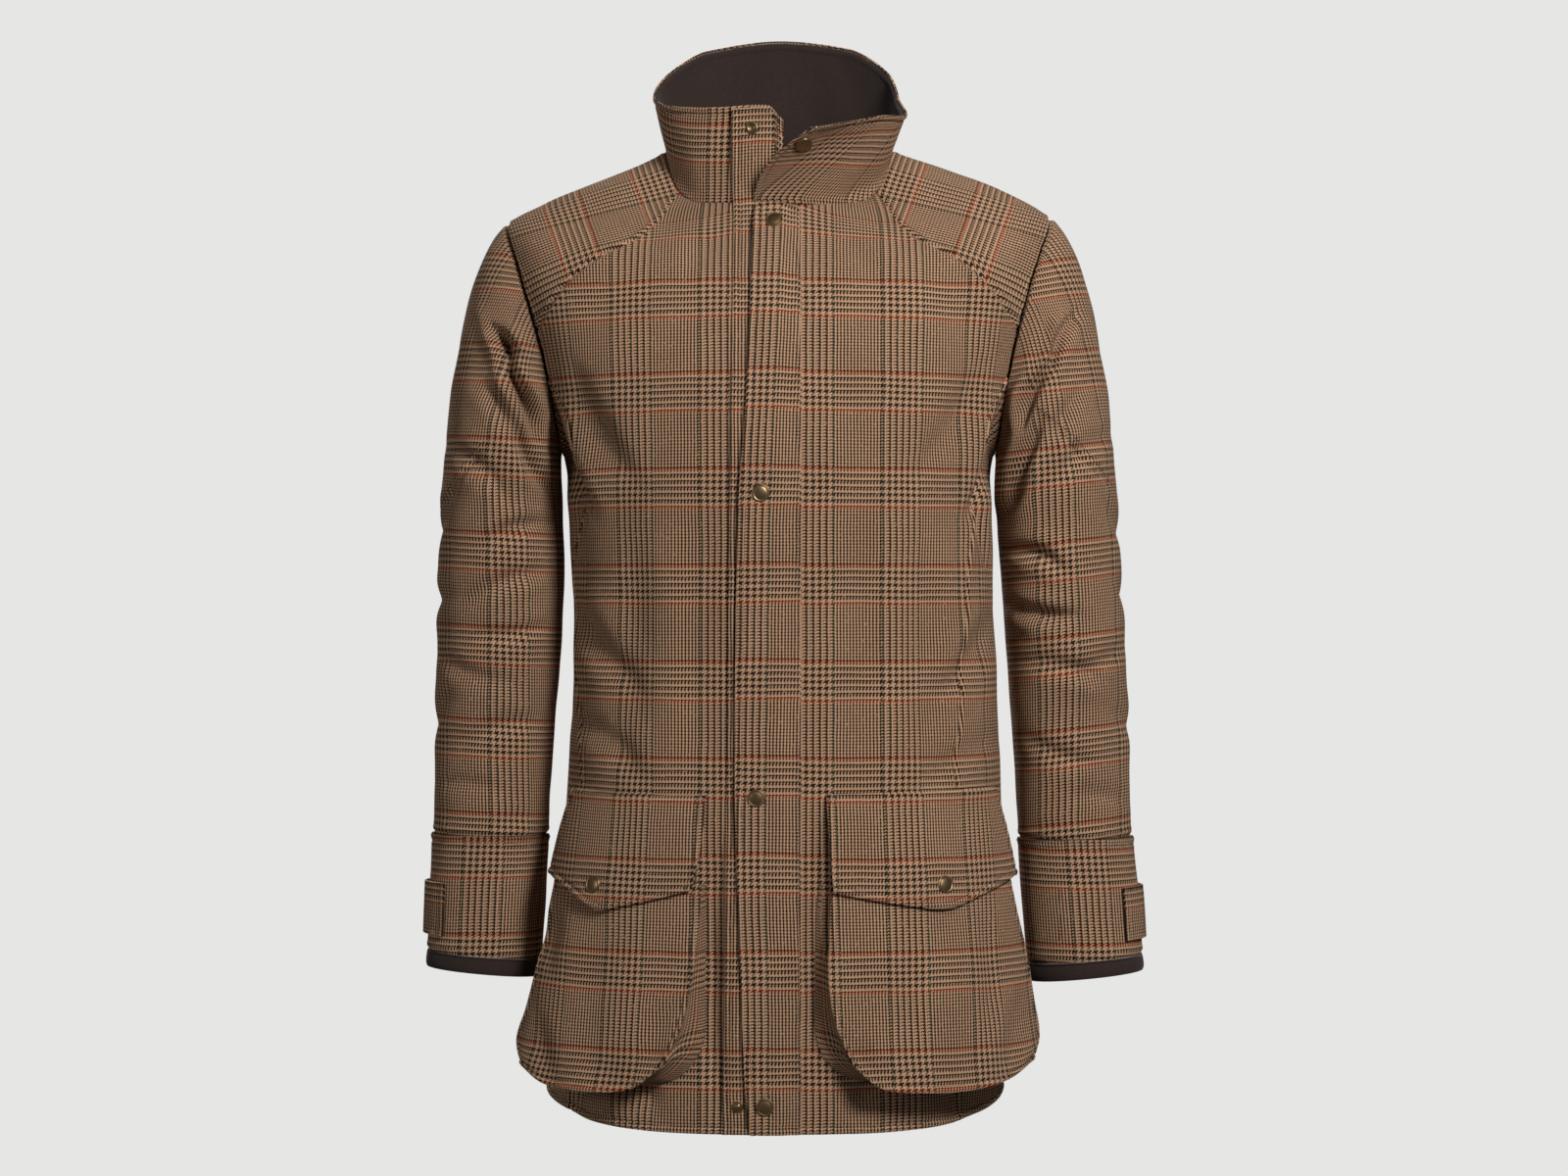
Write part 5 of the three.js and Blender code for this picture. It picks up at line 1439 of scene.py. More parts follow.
@dataclass(frozen=True)
class FrontEdge:
    """The covering flap down the front and the strip of snaps below it.

    Args:
        flap_right: Distance of the flap's sewn edge from the middle.
        flap_reach: Level where the flap ends.
        step: Room between the strip and the flap.
        edge: Distance from the middle at which the flap starts to come down to the body.
        let_down: Distance over which it comes down.
        strip_lift: Room between the body and the strip.
        strip_cloth: Thickness of the strip.
    """

    flap_right: float = 20.0
    flap_reach: float = 14.45
    step: float = 1.7
    edge: float = 2.0
    let_down: float = 12.0
    strip_lift: float = 0.6
    strip_cloth: float = 1.8

    def flap_lift(self, x: np.ndarray) -> np.ndarray:
        """Height of the flap's underside over the body at a distance from the middle."""
        over = self.strip_lift + self.strip_cloth + self.step
        return mix(over, self.strip_lift, smooth((x - self.edge) / self.let_down))

    @staticmethod
    def _edge(level: np.ndarray, column: int) -> np.ndarray:
        """Distance of a free edge from the middle at the height of a level."""
        return read_curve(FRONT_EDGES, TORSO.point(np.zeros_like(level), level)[..., 2], column)

    def _grid(self, level: np.ndarray, x: np.ndarray, lift: np.ndarray) -> Pair:
        """Angle, and spots over the hanging body, of a grid of the front edge."""
        angle = TORSO.seen_at(x, level)
        swell = body_swell(angle, level)
        return angle, TORSO.above(angle, level, lift + swell)

    def flap(self, caps: Sequence[tuple[float, float]]) -> Cloth:
        """The covering flap, dimpled round its snaps."""
        levels = self.flap_reach * graded(800, 3.0)[:, None]
        x = mix(self._edge(levels, 1), self.flap_right, graded(48, 1.6)[None])
        levels = np.broadcast_to(levels, x.shape)
        angle, points = self._grid(levels, x, self.flap_lift(x) + CLOTH)
        across = run_lengths(points, 1, (0, 1))
        stripe = self._edge(levels[:, :1], 3)
        rows = zip(stripe[:, 0], points[..., 0], across)
        start = np.array([np.interp(s, row, run) for s, row, run in rows])
        grain = TORSO.grain(angle, levels)
        grain[..., 0] = FIRST_GREEN + 1.1 + across - start[:, None]
        grain[..., 1] -= 2.0
        piece = Cloth("storm_flap", points, TORSO.normal(angle, levels), grain)
        dimple = np.zeros(x.shape)
        for cap_x, cap_z in caps:
            near = np.hypot(points[..., 0] - cap_x, points[..., 2] - cap_z)
            dimple += 0.9 * np.exp(-((near - 17) / 7) ** 2) - 0.5 * np.exp(-((near / 8) ** 4))
        waver = Rumple(71, 0.9, 60).heights(points) * smooth((self.flap_right - 4 - x) / 12)
        piece.raise_by(dimple + np.maximum(waver, -0.2))
        edges = {"first": Edge.FOLDED, "bottom": Edge.FOLDED, "top": Edge.FOLDED, "last": Edge.SEAM}
        return piece.finish_edges(edges, 2)

    def strip(self) -> Cloth:
        """The strip of snaps, from the hem to the top of the collar."""
        levels = 14.5 * graded(800, 3.0, (True, False))[:, None]
        shares = graded(44, 2.0)[None]
        x = mix(self._edge(levels, 2), -1.0, shares)
        levels = np.broadcast_to(levels, x.shape)
        lift = self.strip_lift + self.strip_cloth
        angle, lower = self._grid(levels, x, np.full(x.shape, lift))
        neck_x = mix(self._edge(np.full((1, 1), TORSO.neck), 2), -1.0, shares)
        bearing = TORSO.seen_at(neck_x, TORSO.neck) / DEG
        heights = mix(0.1, 0.97, graded(72, 2.6, (False, True)))[:, None]
        upper = COLLAR.point(bearing, heights, lift + 0.5)
        points = np.concatenate([lower, upper])
        across = run_lengths(points, 1, (0, 1))
        stripe = -47.0
        start = np.array([np.interp(stripe, row, run) for row, run in zip(points[..., 0], across)])
        offset = np.where(points[:, 0, 0] > stripe, stripe - points[:, 0, 0], 0.0)
        up = run_lengths(points, 0)
        anchor = TORSO.grain(angle, levels)[0, :, 1]
        grain = np.stack([FIRST_GREEN + across - (start + offset)[:, None], anchor[None] + up], axis=-1)
        forward = np.broadcast_to([0.0, -1.0, 0.0], upper.shape)
        normals = np.concatenate([TORSO.normal(angle, levels), forward])
        piece = Cloth("snap_strip", points, normals, grain, self.strip_cloth)
        return piece.finish_edges({"first": Edge.FOLDED, "top": Edge.FOLDED, "bottom": Edge.FOLDED}, 8)


FRONT_EDGE = FrontEdge()


# Pockets.
@dataclass
class Pocket:
    """A bellows pocket: hanging face, gusset and pointed flap, drawn as seen from the front.

    Args:
        side: Side of the jacket.
        inner: Inner edge of the face, from the top down.
        bottom: Its bottom edge, from the inside out.
        outer: Its outer edge, from the top down.
        foot: Line where the gusset meets the body.
        flap: Top, bottom, inner and outer edge of the flap.
        snap: x, z and share across the flap of its snap.
        stripe: Heights and x of a stripe of the check, and its cloth coordinate.
        folds: Creases of the face.
        mouth: Height of the mouth under the flap.
        drop: Height of the hanging face.
        base_lift: How far the face stands off the body at its mouth.
    """

    side: Side
    inner: tuple
    bottom: tuple
    outer: tuple
    foot: tuple
    flap: tuple
    snap: tuple
    stripe: tuple
    stripe_at: float
    folds: list
    mouth: float = -585
    drop: float = 230
    base_lift: float = 3.2

    def lift(self, share: np.ndarray, z: np.ndarray) -> np.ndarray:
        """How far the face stands off the body; share runs from its inner to its outer edge."""
        down = np.clip((self.mouth - z) / self.drop, 0, 1)
        return self.base_lift + mix(27 * down**1.2, 41 * down, share * share)

    def flap_lift(self, share: np.ndarray, z: np.ndarray) -> np.ndarray:
        """The same for the flap, which lies on the face."""
        hug = 3.6 * smooth((-562 - z) / 26)
        return 3.6 + hug + self.lift(np.minimum(1.0, share * 1.09), z) - self.base_lift

    def _sheet(
        self, edges: tuple, size: tuple, lift: Callable, margins: tuple
    ) -> tuple[np.ndarray, ...]:
        """Places and spots of a lifted sheet between four lines of the front view."""
        u = graded(size[0], 2.6, margins[0])
        v = graded(size[1], 2.6, margins[1])
        top, bottom = line_through(edges[0], u), line_through(edges[1], u)
        inner, outer = line_through(edges[2], v), line_through(edges[3], v)
        view = fill_at((top, bottom, inner, outer), u, v)
        x, z = view[..., 0], view[..., 1]
        height = lift(np.broadcast_to(u[None], x.shape), z)
        angle, level = TORSO.find(x, z, height)
        share = np.clip((self.mouth - z) / self.drop, 0, 1)
        calm = body_swell(angle, level) * (1 - 0.75 * smooth(share * 2.2))
        return angle, level, height + calm

    def _cloth(self, name: str, found: tuple, thickness: float, extra: float) -> Cloth:
        """Cloth over a sheet, with the check hanging straight down it."""
        angle, level, height = found
        points = TORSO.above(angle, level, height)
        heights, xs = np.array(self.stripe, dtype=float).T
        across, along = run_lengths(points, 1, (0, 1)), run_lengths(points, 0, (1, 2))
        stripe = np.interp(-points[..., 2].mean(axis=1), -heights, xs)
        start = np.array([np.interp(s, row, run) for s, row, run in self._rising(stripe, points, across)])
        column = points.shape[1] // 2
        top = TORSO.grain(angle[:1], level[:1])[0, column, 1] + extra
        rise = points[0, :, 2] - points[0, column, 2]
        beside = self.stripe_at + self.side.value * (across - start[:, None])
        grain = np.stack([beside, (top + rise)[None] - along], axis=-1)
        piece = Cloth(name, points, TORSO.normal(angle, level), grain, thickness)
        field = FoldField(self.folds, strength=2.2)
        piece.raise_by(field.heights(points, piece.normals()) + Rumple(81, 0.9, 40).heights(points))
        return piece

    def _rising(self, stripe: np.ndarray, points: np.ndarray, across: np.ndarray) -> list[tuple]:
        """Rows of the sheet with x rising, for reading where the stripe crosses them."""
        sign = self.side.value
        return [(sign * s, sign * row, run) for s, row, run in zip(stripe, points[..., 0], across)]

    def face(self) -> Cloth:
        """The hanging face."""
        top = (self.inner[0], self.outer[0])
        edges = (top, self.bottom, self.inner, self.outer)
        found = self._sheet(edges, (140, 225), self.lift, ((True, True), (False, True)))
        piece = self._cloth(f"pocket_face_{self.side.word}", found, CLOTH, 0.0)
        edge_kinds = {"first": Edge.FOLDED, "last": Edge.FOLDED, "top": Edge.FOLDED}
        return piece.finish_edges(edge_kinds, 6)

    def flap_cloth(self) -> Cloth:
        """The pointed flap."""
        found = self._sheet(self.flap, (140, 92), self.flap_lift, ((True, True), (True, True)))
        piece = self._cloth(f"pocket_flap_{self.side.word}", found, 2.2, 4.0)
        near = np.hypot(piece.points[..., 0] - self.snap[0], piece.points[..., 2] - self.snap[1])
        piece.raise_by(0.9 * np.exp(-(((near - 16) / 6) ** 2)) - 0.5 * np.exp(-((near / 8) ** 4)))
        kinds = {"first": Edge.FOLDED, "last": Edge.FOLDED, "top": Edge.FOLDED, "bottom": Edge.SEAM}
        return piece.finish_edges(kinds, 7)

    def gusset(self, face: Cloth) -> Cloth:
        """The folded strip between the face and the body, open at the top."""
        normals = face.normals()
        under = face.points - normals * (CLOTH + 0.6)
        start = int(np.argmin(np.abs(face.points[:, 0, 2] + 640)))
        rim = np.concatenate([under[start:-1, 1], under[-2, 1:-1], under[start:-1, -2][::-1]])
        shares = np.concatenate([[0.0], np.cumsum(np.linalg.norm(np.diff(rim, axis=0), axis=1))])
        foot = line_through(self.foot, shares / shares[-1])
        height = np.full(len(foot), 0.8)
        angle, level = TORSO.find(foot[:, 0], foot[:, 1], height)
        base = TORSO.above(angle, level, height + body_swell(angle, level) + 0.5)
        t = np.linspace(0, 1, 15)[:, None, None]
        middle = np.array([self.side.value * 130.0, base[:, 1].mean(), -690.0])
        toward = unit(middle - base)
        spread = smooth(np.linalg.norm(rim - base, axis=1) / 24)
        bow = 5.0 * np.sin(math.pi * t) ** 1.5 * spread[None, :, None]
        points = base[None] * (1 - t) + rim[None] * t + toward[None] * bow
        grain = np.stack([-210 + 0 * t[..., 0] + shares[None], 60 * t[..., 0] + 0 * shares[None]], axis=-1)
        outward = -np.broadcast_to(toward, points.shape)
        return Cloth(f"pocket_gusset_{self.side.word}", points, outward, grain, 1.6)


LEFT_POCKET = Pocket(
    Side.LEFT,
    ((-62, -592), (-63.5, -622), (-66.5, -672), (-73, -722), (-83, -764), (-97.6, -792)),
    ((-97.6, -792), (-122, -810.5), (-145, -815.5), (-180, -816), (-205, -812), (-222, -800)),
    ((-186, -592), (-194, -640), (-208, -706), (-219, -752), (-227, -780), (-222, -800)),
    (
        (-61, -640), (-61, -672), (-61.5, -722), (-63, -776), (-82, -803), (-110, -811), (-145, -812),
        (-168, -806), (-186, -780), (-186, -740), (-183, -690), (-178, -640),
    ),
    (
        ((-61, -564), (-100, -564), (-142, -562.5), (-180, -561)),
        ((-72.8, -644), (-100, -651), (-130, -658), (-156, -663), (-180, -650), (-200, -636)),
        ((-61, -564), (-65.5, -610), (-72.8, -644)),
        ((-180, -561), (-190, -597), (-200, -636)),
    ),
    (-158, -642, 0.68),
    ((-560, -125.5), (-641, -129.7), (-673, -130.5), (-782, -135), (-824, -142)),
    -127.5,
    [
        *creases(
            Facing.FRONT,
            (-190, -668, -199, -716, 9, 2.2, 3, 0.6),
            (-96, -768, -122, -800, 9, 2.0, -3, 0.7),
            (-84, -742, -108, -776, 8, 1.6, 3, 0.7),
            (-150, -690, -158, -792, 16, 1.5, 5, 0.6),
            (-206, -756, -196, -806, 9, 1.4, 3, 0.6),
        ),
    ],
)
RIGHT_POCKET = Pocket(
    Side.RIGHT,
    ((43, -592), (46, -622), (45, -672), (44, -722), (50, -757), (65, -791)),
    ((65, -791), (88, -810), (124, -815), (168, -815), (200, -809), (222, -796)),
    ((193, -592), (203, -640), (217, -706), (224, -745), (228, -776), (222, -796)),
    (
        (37, -640), (34, -672), (33.5, -722), (35, -775), (52, -799), (85, -809), (130, -812),
        (168, -806), (188, -780), (189, -740), (188, -690), (186, -640),
    ),
    (
        ((42, -563), (90, -562), (140, -561), (192, -560)),
        ((48.3, -646), (80, -652), (115, -658), (146, -661.5), (178, -651), (209, -638)),
        ((42, -563), (45, -610), (48.3, -646)),
        ((192, -560), (201, -597), (209, -638)),
    ),
    (144, -641, 0.6),
    ((-560, 109), (-641, 111), (-673, 112), (-782, 115), (-824, 118)),
    109.0,
    [
        *creases(
            Facing.FRONT,
            (181, -664, 184, -771, 11, 2.2, -4, 0.6),
            (62, -770, 92, -802, 9, 1.8, 3, 0.7),
            (112, -700, 104, -800, 16, 1.4, -5, 0.6),
            (208, -742, 196, -800, 9, 1.5, -3, 0.6),
        ),
    ],
)


# Metal.
class SnapShape(Enum):
    """Outlines of the snap parts: radius and height from the rim to the middle."""

    CAP = (
        (6.9, -0.6), (7.35, -0.45), (7.6, 0.1), (7.6, 0.7), (7.4, 1.15), (6.95, 1.4), (6.45, 1.38),
        (6.1, 1.18), (5.8, 1.16), (5.0, 1.42), (3.6, 1.72), (1.8, 1.9), (0.05, 1.94),
    )
    STUD = (
        (4.6, -0.6), (5.0, -0.3), (5.1, 0.3), (4.8, 0.75), (4.2, 0.8), (3.5, 0.55), (2.7, 0.6), (2.2, 1.2),
        (2.2, 2.2), (2.5, 2.7), (2.3, 3.2), (1.5, 3.5), (0.05, 3.6),
    )
    SOCKET = (
        (4.9, -0.6), (5.3, -0.3), (5.4, 0.4), (5.1, 1.1), (4.4, 1.5), (3.5, 1.45), (2.9, 1.1), (2.7, 0.5),
        (2.3, 0.2), (1.2, 0.15), (0.05, 0.15),
    )


@dataclass
class Snap:
    """One part of a press snap, turned about the direction in which it sits."""

    name: str
    base: np.ndarray
    normal: np.ndarray
    shape: SnapShape = SnapShape.CAP
    sides: int = 48
    seat: float = 0.5

    def build(self, material: bpy.types.Material) -> bpy.types.Object:
        """Makes the part."""
        sideways = unit(np.cross([1.0, 0.0, 0.0], self.normal))
        upward = np.cross(self.normal, sideways)
        turn = np.linspace(0, FULL_TURN, self.sides, endpoint=False)
        profile = np.array(self.shape.value)
        round_way = sideways * np.cos(turn)[:, None] + upward * np.sin(turn)[:, None]
        raised = self.normal * (profile[:, 1, None, None] + self.seat)
        points = self.base + profile[:, :1, None] * round_way + raised
        at = np.arange(points.shape[0] * self.sides).reshape(points.shape[:2])
        ahead = np.roll(at, -1, axis=1)
        faces = np.stack([at[:-1], ahead[:-1], ahead[1:], at[1:]], axis=-1).reshape(-1, 4)
        across = np.cross(points[0, 1] - points[0, 0], points[1, 0] - points[0, 0])
        if across @ (points[0, 0] - self.base) < 0:
            faces = faces[:, ::-1]
        piece = make_mesh(f"{self.name}_metal", points.reshape(-1, 3), faces, material)
        return register(piece, "antique_brass")


# Sewing.
@dataclass
class Stitching:
    """Rows of single stitches joined into one piece.

    Args:
        name: Name of the piece.
        pitch: Space from stitch to stitch.
        length: Length of a stitch.
        width: Half its thickness, about twice a real thread's so that it shows.
        corners: Corners of its cross-section.
        rings: Place along the stitch and relative thickness of each cross-section.
        points: The cross-sections sewn so far.
    """

    name: str
    pitch: float = 3.2
    length: float = 2.3
    width: float = 0.42
    corners: int = 5
    rings: tuple = ((-0.5, 0.25), (-0.32, 0.9), (0.0, 1.05), (0.32, 0.9), (0.5, 0.25))
    points: list = field(default_factory=list)

    def run(self, line: tuple[np.ndarray, np.ndarray], sink: float = 0.05) -> None:
        """Sews along a line.

        Args:
            line: Spots and outward directions of the line.
            sink: How deep the thread lies in the cloth.
        """
        spots, ways = line
        gone = np.concatenate([[0.0], np.cumsum(np.linalg.norm(np.diff(spots, axis=0), axis=1))])
        if gone[-1] < self.pitch * 2:
            return
        middles = np.arange(self.pitch / 2, gone[-1], self.pitch)

        def at(where: np.ndarray, rows: np.ndarray) -> np.ndarray:
            """Rows read at distances along the line."""
            return np.stack([np.interp(where, gone, rows[:, k]) for k in range(3)], axis=1)

        heart, up = at(middles, spots), unit(at(middles, ways))
        along = unit(at(middles + 0.8, spots) - at(middles - 0.8, spots))
        side = np.cross(along, up)
        for share, size in self.rings:
            ring = []
            for turn in np.linspace(0, FULL_TURN, self.corners, endpoint=False):
                reach = self.width * size
                drop = 0.14 * (abs(share) > 0.4)
                ring.append(
                    heart + along * share * self.length + side * reach * math.cos(turn)
                    + up * (reach * 0.75 * math.sin(turn) - sink - drop)
                )
            self.points.append(np.stack(ring, axis=1))

    def build(self, material: bpy.types.Material) -> bpy.types.Object:
        """Joins all stitches."""
        spots, faces, start = [], [], 0
        each = len(self.rings)
        for first in range(0, len(self.points), each):
            rings = np.stack(self.points[first : first + each], axis=1)
            count = rings[..., 0].size
            at = start + np.arange(count).reshape(rings.shape[:3])
            ahead = np.roll(at, -1, axis=2)
            quads = np.stack([at[:, :-1], ahead[:, :-1], ahead[:, 1:], at[:, 1:]], axis=-1)
            faces.append(quads.reshape(-1, 4))
            spots.append(rings.reshape(-1, 3))
            start += count
        piece = make_mesh(self.name, np.concatenate(spots), np.concatenate(faces), material)
        return register(piece, "tweed")


# Finishes.
def linear(code: str) -> tuple[float, ...]:
    """Turns an sRGB hex colour into linear numbers."""
    values = [int(code[k : k + 2], 16) / 255 for k in (1, 3, 5)]
    found = [v / 12.92 if v <= 0.04045 else ((v + 0.055) / 1.055) ** 2.4 for v in values]
    return (*found, 1.0)


def add(
    tree: bpy.types.NodeTree, kind: str, inputs: Optional[dict] = None, **settings: object
) -> bpy.types.Node:
    """Adds a node.

    Args:
        tree: The node tree.
        kind: Type of the node.
        inputs: Sockets by name or number, each with a value or another node's output.
        settings: Properties of the node.

    Returns:
        The node.
    """
    node = tree.nodes.new(kind)
    for name, value in settings.items():
        setattr(node, name, value)
    for key, value in (inputs or {}).items():
        if isinstance(value, bpy.types.NodeSocket):
            tree.links.new(value, node.inputs[key])
        else:
            node.inputs[key].default_value = value
    return node


Term = float | bpy.types.NodeSocket


@dataclass(frozen=True)
class Sums:
    """Arithmetic and noise on the sockets of one node tree."""

    tree: bpy.types.NodeTree

    def do(self, operation: str, *values: Term) -> bpy.types.NodeSocket:
        """Output of one arithmetic node."""
        inputs = dict(enumerate(values))
        return add(self.tree, "ShaderNodeMath", inputs, operation=operation).outputs[0]

    def blend(self, share: Term, low: Term | tuple, high: Term | tuple) -> bpy.types.NodeSocket:
        """Colour a share of the way from low to high."""
        node = add(self.tree, "ShaderNodeMix", {0: share, 6: low, 7: high}, data_type="RGBA")
        return node.outputs[2]

    def choose(self, first: Term, yes: Term, no: Term) -> bpy.types.NodeSocket:
        """One number where the first is 1 and the other where it is 0."""
        rest = self.do("SUBTRACT", 1.0, first)
        return self.do("ADD", self.do("MULTIPLY", yes, first), self.do("MULTIPLY", no, rest))

    def noise(self, place: Term, size: float, detail: float, output: str | int = 0) -> bpy.types.NodeSocket:
        """Uneven spots of a size in millimetres, where places are in metres."""
        inputs = {"Vector": place, "Scale": 1 / (size * MM), "Detail": detail}
        return add(self.tree, "ShaderNodeTexNoise", inputs).outputs[output]


@dataclass(frozen=True)
class Tweed:
    """Woollen 2/2 twill woven in a glen check, raised on the face.

    Camel and dark brown threads alternate in twos and in fours both ways; where they cross they
    make the hand's-tooth squares. Green warp and rust weft threads frame the blocks.

    Args:
        camel: Colour of the pale thread, as the others are of theirs.
        warp: Space from one warp thread to the next in millimetres.
        weft: The same of the weft.
        warp_repeat: Threads in one repeat of the check across.
        weft_repeat: Threads in one repeat up the cloth.
        warp_bold: Thread at which the block in fours begins across.
        weft_fine: Thread at which the block in twos begins up the cloth.
        waver_size: Distance over which a line of threads wavers.
        waver: How far it does so, to both sides together.
        nap_size: Distance between tufts of the nap.
        fleck_size: Distance between flecks.
        broad_size: Distance over which the tone changes.
    """

    camel: str = "#dbaf8c"
    brown: str = "#1a0f0a"
    green: str = "#3b4031"
    rust: str = "#a03812"
    nap: str = "#7d5f47"
    fleck: str = "#d8bd97"
    halo: str = "#e6cfae"
    warp: float = 0.73
    weft: float = 0.69
    warp_repeat: float = 108.0
    weft_repeat: float = 120.0
    warp_bold: float = 64.0
    weft_fine: float = 52.0
    waver_size: float = 45.5
    waver: float = 1.6
    nap_size: float = 1.43
    fleck_size: float = 2.38
    broad_size: float = 55.6

    def material(self) -> bpy.types.Material:
        """The finish."""
        finish = bpy.data.materials.new("woollen twill, woven glen check and raised")
        finish.use_nodes = True
        tree = finish.node_tree
        shader = tree.nodes["Principled BSDF"]
        sums = Sums(tree)
        do = sums.do
        grain = add(tree, "ShaderNodeUVMap", uv_map="grain").outputs[0]
        waver = sums.noise(grain, self.waver_size, 2.0, "Color")
        split = add(tree, "ShaderNodeSeparateXYZ", {0: grain})
        sway = add(tree, "ShaderNodeSeparateColor", {0: waver})
        across, along = (
            do("ADD", split.outputs[k], do("MULTIPLY", do("SUBTRACT", sway.outputs[k], 0.5), self.waver * MM))
            for k in (0, 1)
        )
        i_whole = do("DIVIDE", do("SUBTRACT", across, FIRST_GREEN * MM), self.warp * MM)
        j_whole = do("DIVIDE", do("SUBTRACT", FIRST_RED * MM, along), self.weft * MM)
        i, j = do("FLOOR", i_whole), do("FLOOR", j_whole)
        i_turn = do("FLOORED_MODULO", i, self.warp_repeat)
        j_turn = do("FLOORED_MODULO", j, self.weft_repeat)
        warp_fine = do("GREATER_THAN", do("FLOORED_MODULO", i_turn, 4.0), 1.5)
        into_bold = do("SUBTRACT", i_turn, self.warp_bold + 4.0)
        warp_bold = do("LESS_THAN", do("FLOORED_MODULO", into_bold, 8.0), 3.5)
        in_bold = do("GREATER_THAN", i_turn, self.warp_bold - 0.5)
        warp_dark = sums.choose(in_bold, warp_bold, warp_fine)
        weft_fine = do("GREATER_THAN", do("FLOORED_MODULO", j_turn, 4.0), 1.5)
        weft_bold = do("LESS_THAN", do("FLOORED_MODULO", j_turn, 8.0), 3.5)
        in_fine = do("GREATER_THAN", j_turn, self.weft_fine - 0.5)
        weft_dark = sums.choose(in_fine, weft_fine, weft_bold)
        # Four coloured threads at the start of a repeat, and four more just before its second block.
        green, rust = (
            do("MAXIMUM", do("LESS_THAN", turn, 3.5), do(
                "MULTIPLY", do("GREATER_THAN", turn, block - 4.5), do("LESS_THAN", turn, block - 0.5)
            ))
            for turn, block in ((i_turn, self.warp_bold), (j_turn, self.weft_fine))
        )
        warp_up = do("LESS_THAN", do("FLOORED_MODULO", do("ADD", do("ADD", i, j), 2.0), 4.0), 1.5)
        camel, brown = linear(self.camel), linear(self.brown)
        warp_colour = sums.blend(green, sums.blend(warp_dark, camel, brown), linear(self.green))
        weft_colour = sums.blend(rust, sums.blend(weft_dark, camel, brown), linear(self.rust))
        woven = sums.blend(warp_up, weft_colour, warp_colour)
        # The raised nap greys the threads a little into each other, more in some places than in others.
        mist = sums.noise(grain, self.nap_size, 3.0)
        napped = sums.blend(do("MULTIPLY", mist, 0.14), woven, linear(self.nap))
        # Flecks of unevenly dyed wool, one to three millimetres long.
        fleck = sums.noise(grain, self.fleck_size, 1.0)
        pale = do("MULTIPLY", do("GREATER_THAN", fleck, 0.68), 0.4)
        flecked = sums.blend(pale, napped, linear(self.fleck))
        # Threads stand out as small round ribs, with painted shade darkening the colour between them; the
        # warp ones where the warp is up.
        warp_rib = do("SINE", do("MULTIPLY", do("FRACT", i_whole), math.pi))
        weft_rib = do("SINE", do("MULTIPLY", do("FRACT", j_whole), math.pi))
        rib = sums.choose(warp_up, warp_rib, weft_rib)
        # Broad unevenness of the cloth, a few centimetres across.
        broad = sums.noise(grain, self.broad_size, 3.0)
        patch = do("ADD", 0.86, do("MULTIPLY", broad, 0.28))
        # The colour's value is the broad tone times the rib profile, which paints shade between the threads.
        value = do("MULTIPLY", patch, do("ADD", 0.55, do("MULTIPLY", rib, 0.5)))
        toned_and_thread_shaded = add(tree, "ShaderNodeHueSaturation", {"Value": value, "Color": flecked}).outputs[0]
        tree.links.new(toned_and_thread_shaded, shader.inputs["Base Color"])
        height = do("ADD", rib, do("MULTIPLY", mist, 1.4))
        bump = add(tree, "ShaderNodeBump", {"Strength": 0.8, "Distance": 0.0005, "Height": height})
        tree.links.new(bump.outputs[0], shader.inputs["Normal"])
        # Wool scatters light widely: no gloss, and a faint pale halo at grazing angles from the nap.
        shader.inputs["Roughness"].default_value = 0.95
        shader.inputs["IOR"].default_value = 1.45
        shader.inputs["Specular IOR Level"].default_value = 0.12
        shader.inputs["Sheen Weight"].default_value = 0.07
        shader.inputs["Sheen Roughness"].default_value = 0.5
        shader.inputs["Sheen Tint"].default_value = linear(self.halo)
        return finish


@dataclass(frozen=True)
class PlainFinish:
    """A finish of one colour with fine unevenness.

    Args:
        name: Real material and how its surface was made.
        colour: Its colour.
        dull: The colour of its duller places.
        roughness: Roughness of the surface.
        metallic: 1 for bare metal.
        sheen: Pale halo of a nap.
        grain: Size of the uneven spots in millimetres.
        relief: Height of the unevenness in millimetres.
    """

    name: str
    colour: str
    dull: str
    roughness: float
    metallic: float
    sheen: float
    grain: float
    relief: float

    def material(self) -> bpy.types.Material:
        """The finish."""
        finish = bpy.data.materials.new(self.name)
        finish.use_nodes = True
        tree = finish.node_tree
        shader = tree.nodes["Principled BSDF"]
        place = add(tree, "ShaderNodeTexCoord").outputs["Object"]
        sums = Sums(tree)
        noise = sums.noise(place, self.grain, 4.0)
        tone = sums.blend(noise, linear(self.dull), linear(self.colour))
        tree.links.new(tone, shader.inputs["Base Color"])
        bump = add(tree, "ShaderNodeBump", {"Strength": 0.5, "Distance": self.relief * MM, "Height": noise})
        tree.links.new(bump.outputs[0], shader.inputs["Normal"])
        shader.inputs["Roughness"].default_value = self.roughness
        shader.inputs["Metallic"].default_value = self.metallic
        shader.inputs["Sheen Weight"].default_value = self.sheen
        shader.inputs["Sheen Roughness"].default_value = 0.4
        return finish


# Brushed moleskin cotton: a short dark nap that goes pale only where it turns away from the eye.
MOLESKIN = PlainFinish("cotton moleskin, brushed", "#33231c", "#1f1410", 0.95, 0.0, 0.12, 2.38, 0.5)
# Brass darkened in a bath and rubbed back: dull brownish gold with a soft gleam.
ANTIQUE_BRASS = PlainFinish("brass, antiqued and relieved", "#a58a66", "#6b563e", 0.34, 1.0, 0.0, 1.11, 0.03)
# Waxed polyester thread: dark brown, a little shine along each stitch.
THREAD = PlainFinish("polyester thread, waxed", "#3a261c", "#2c1c15", 0.6, 0.0, 0.1, 2.5, 0.05)


# Cloth as it was cut.
class Held(Enum):
    """How a piece of cloth is held."""

    DRAPED = "draped"
    HUNG = "hung"


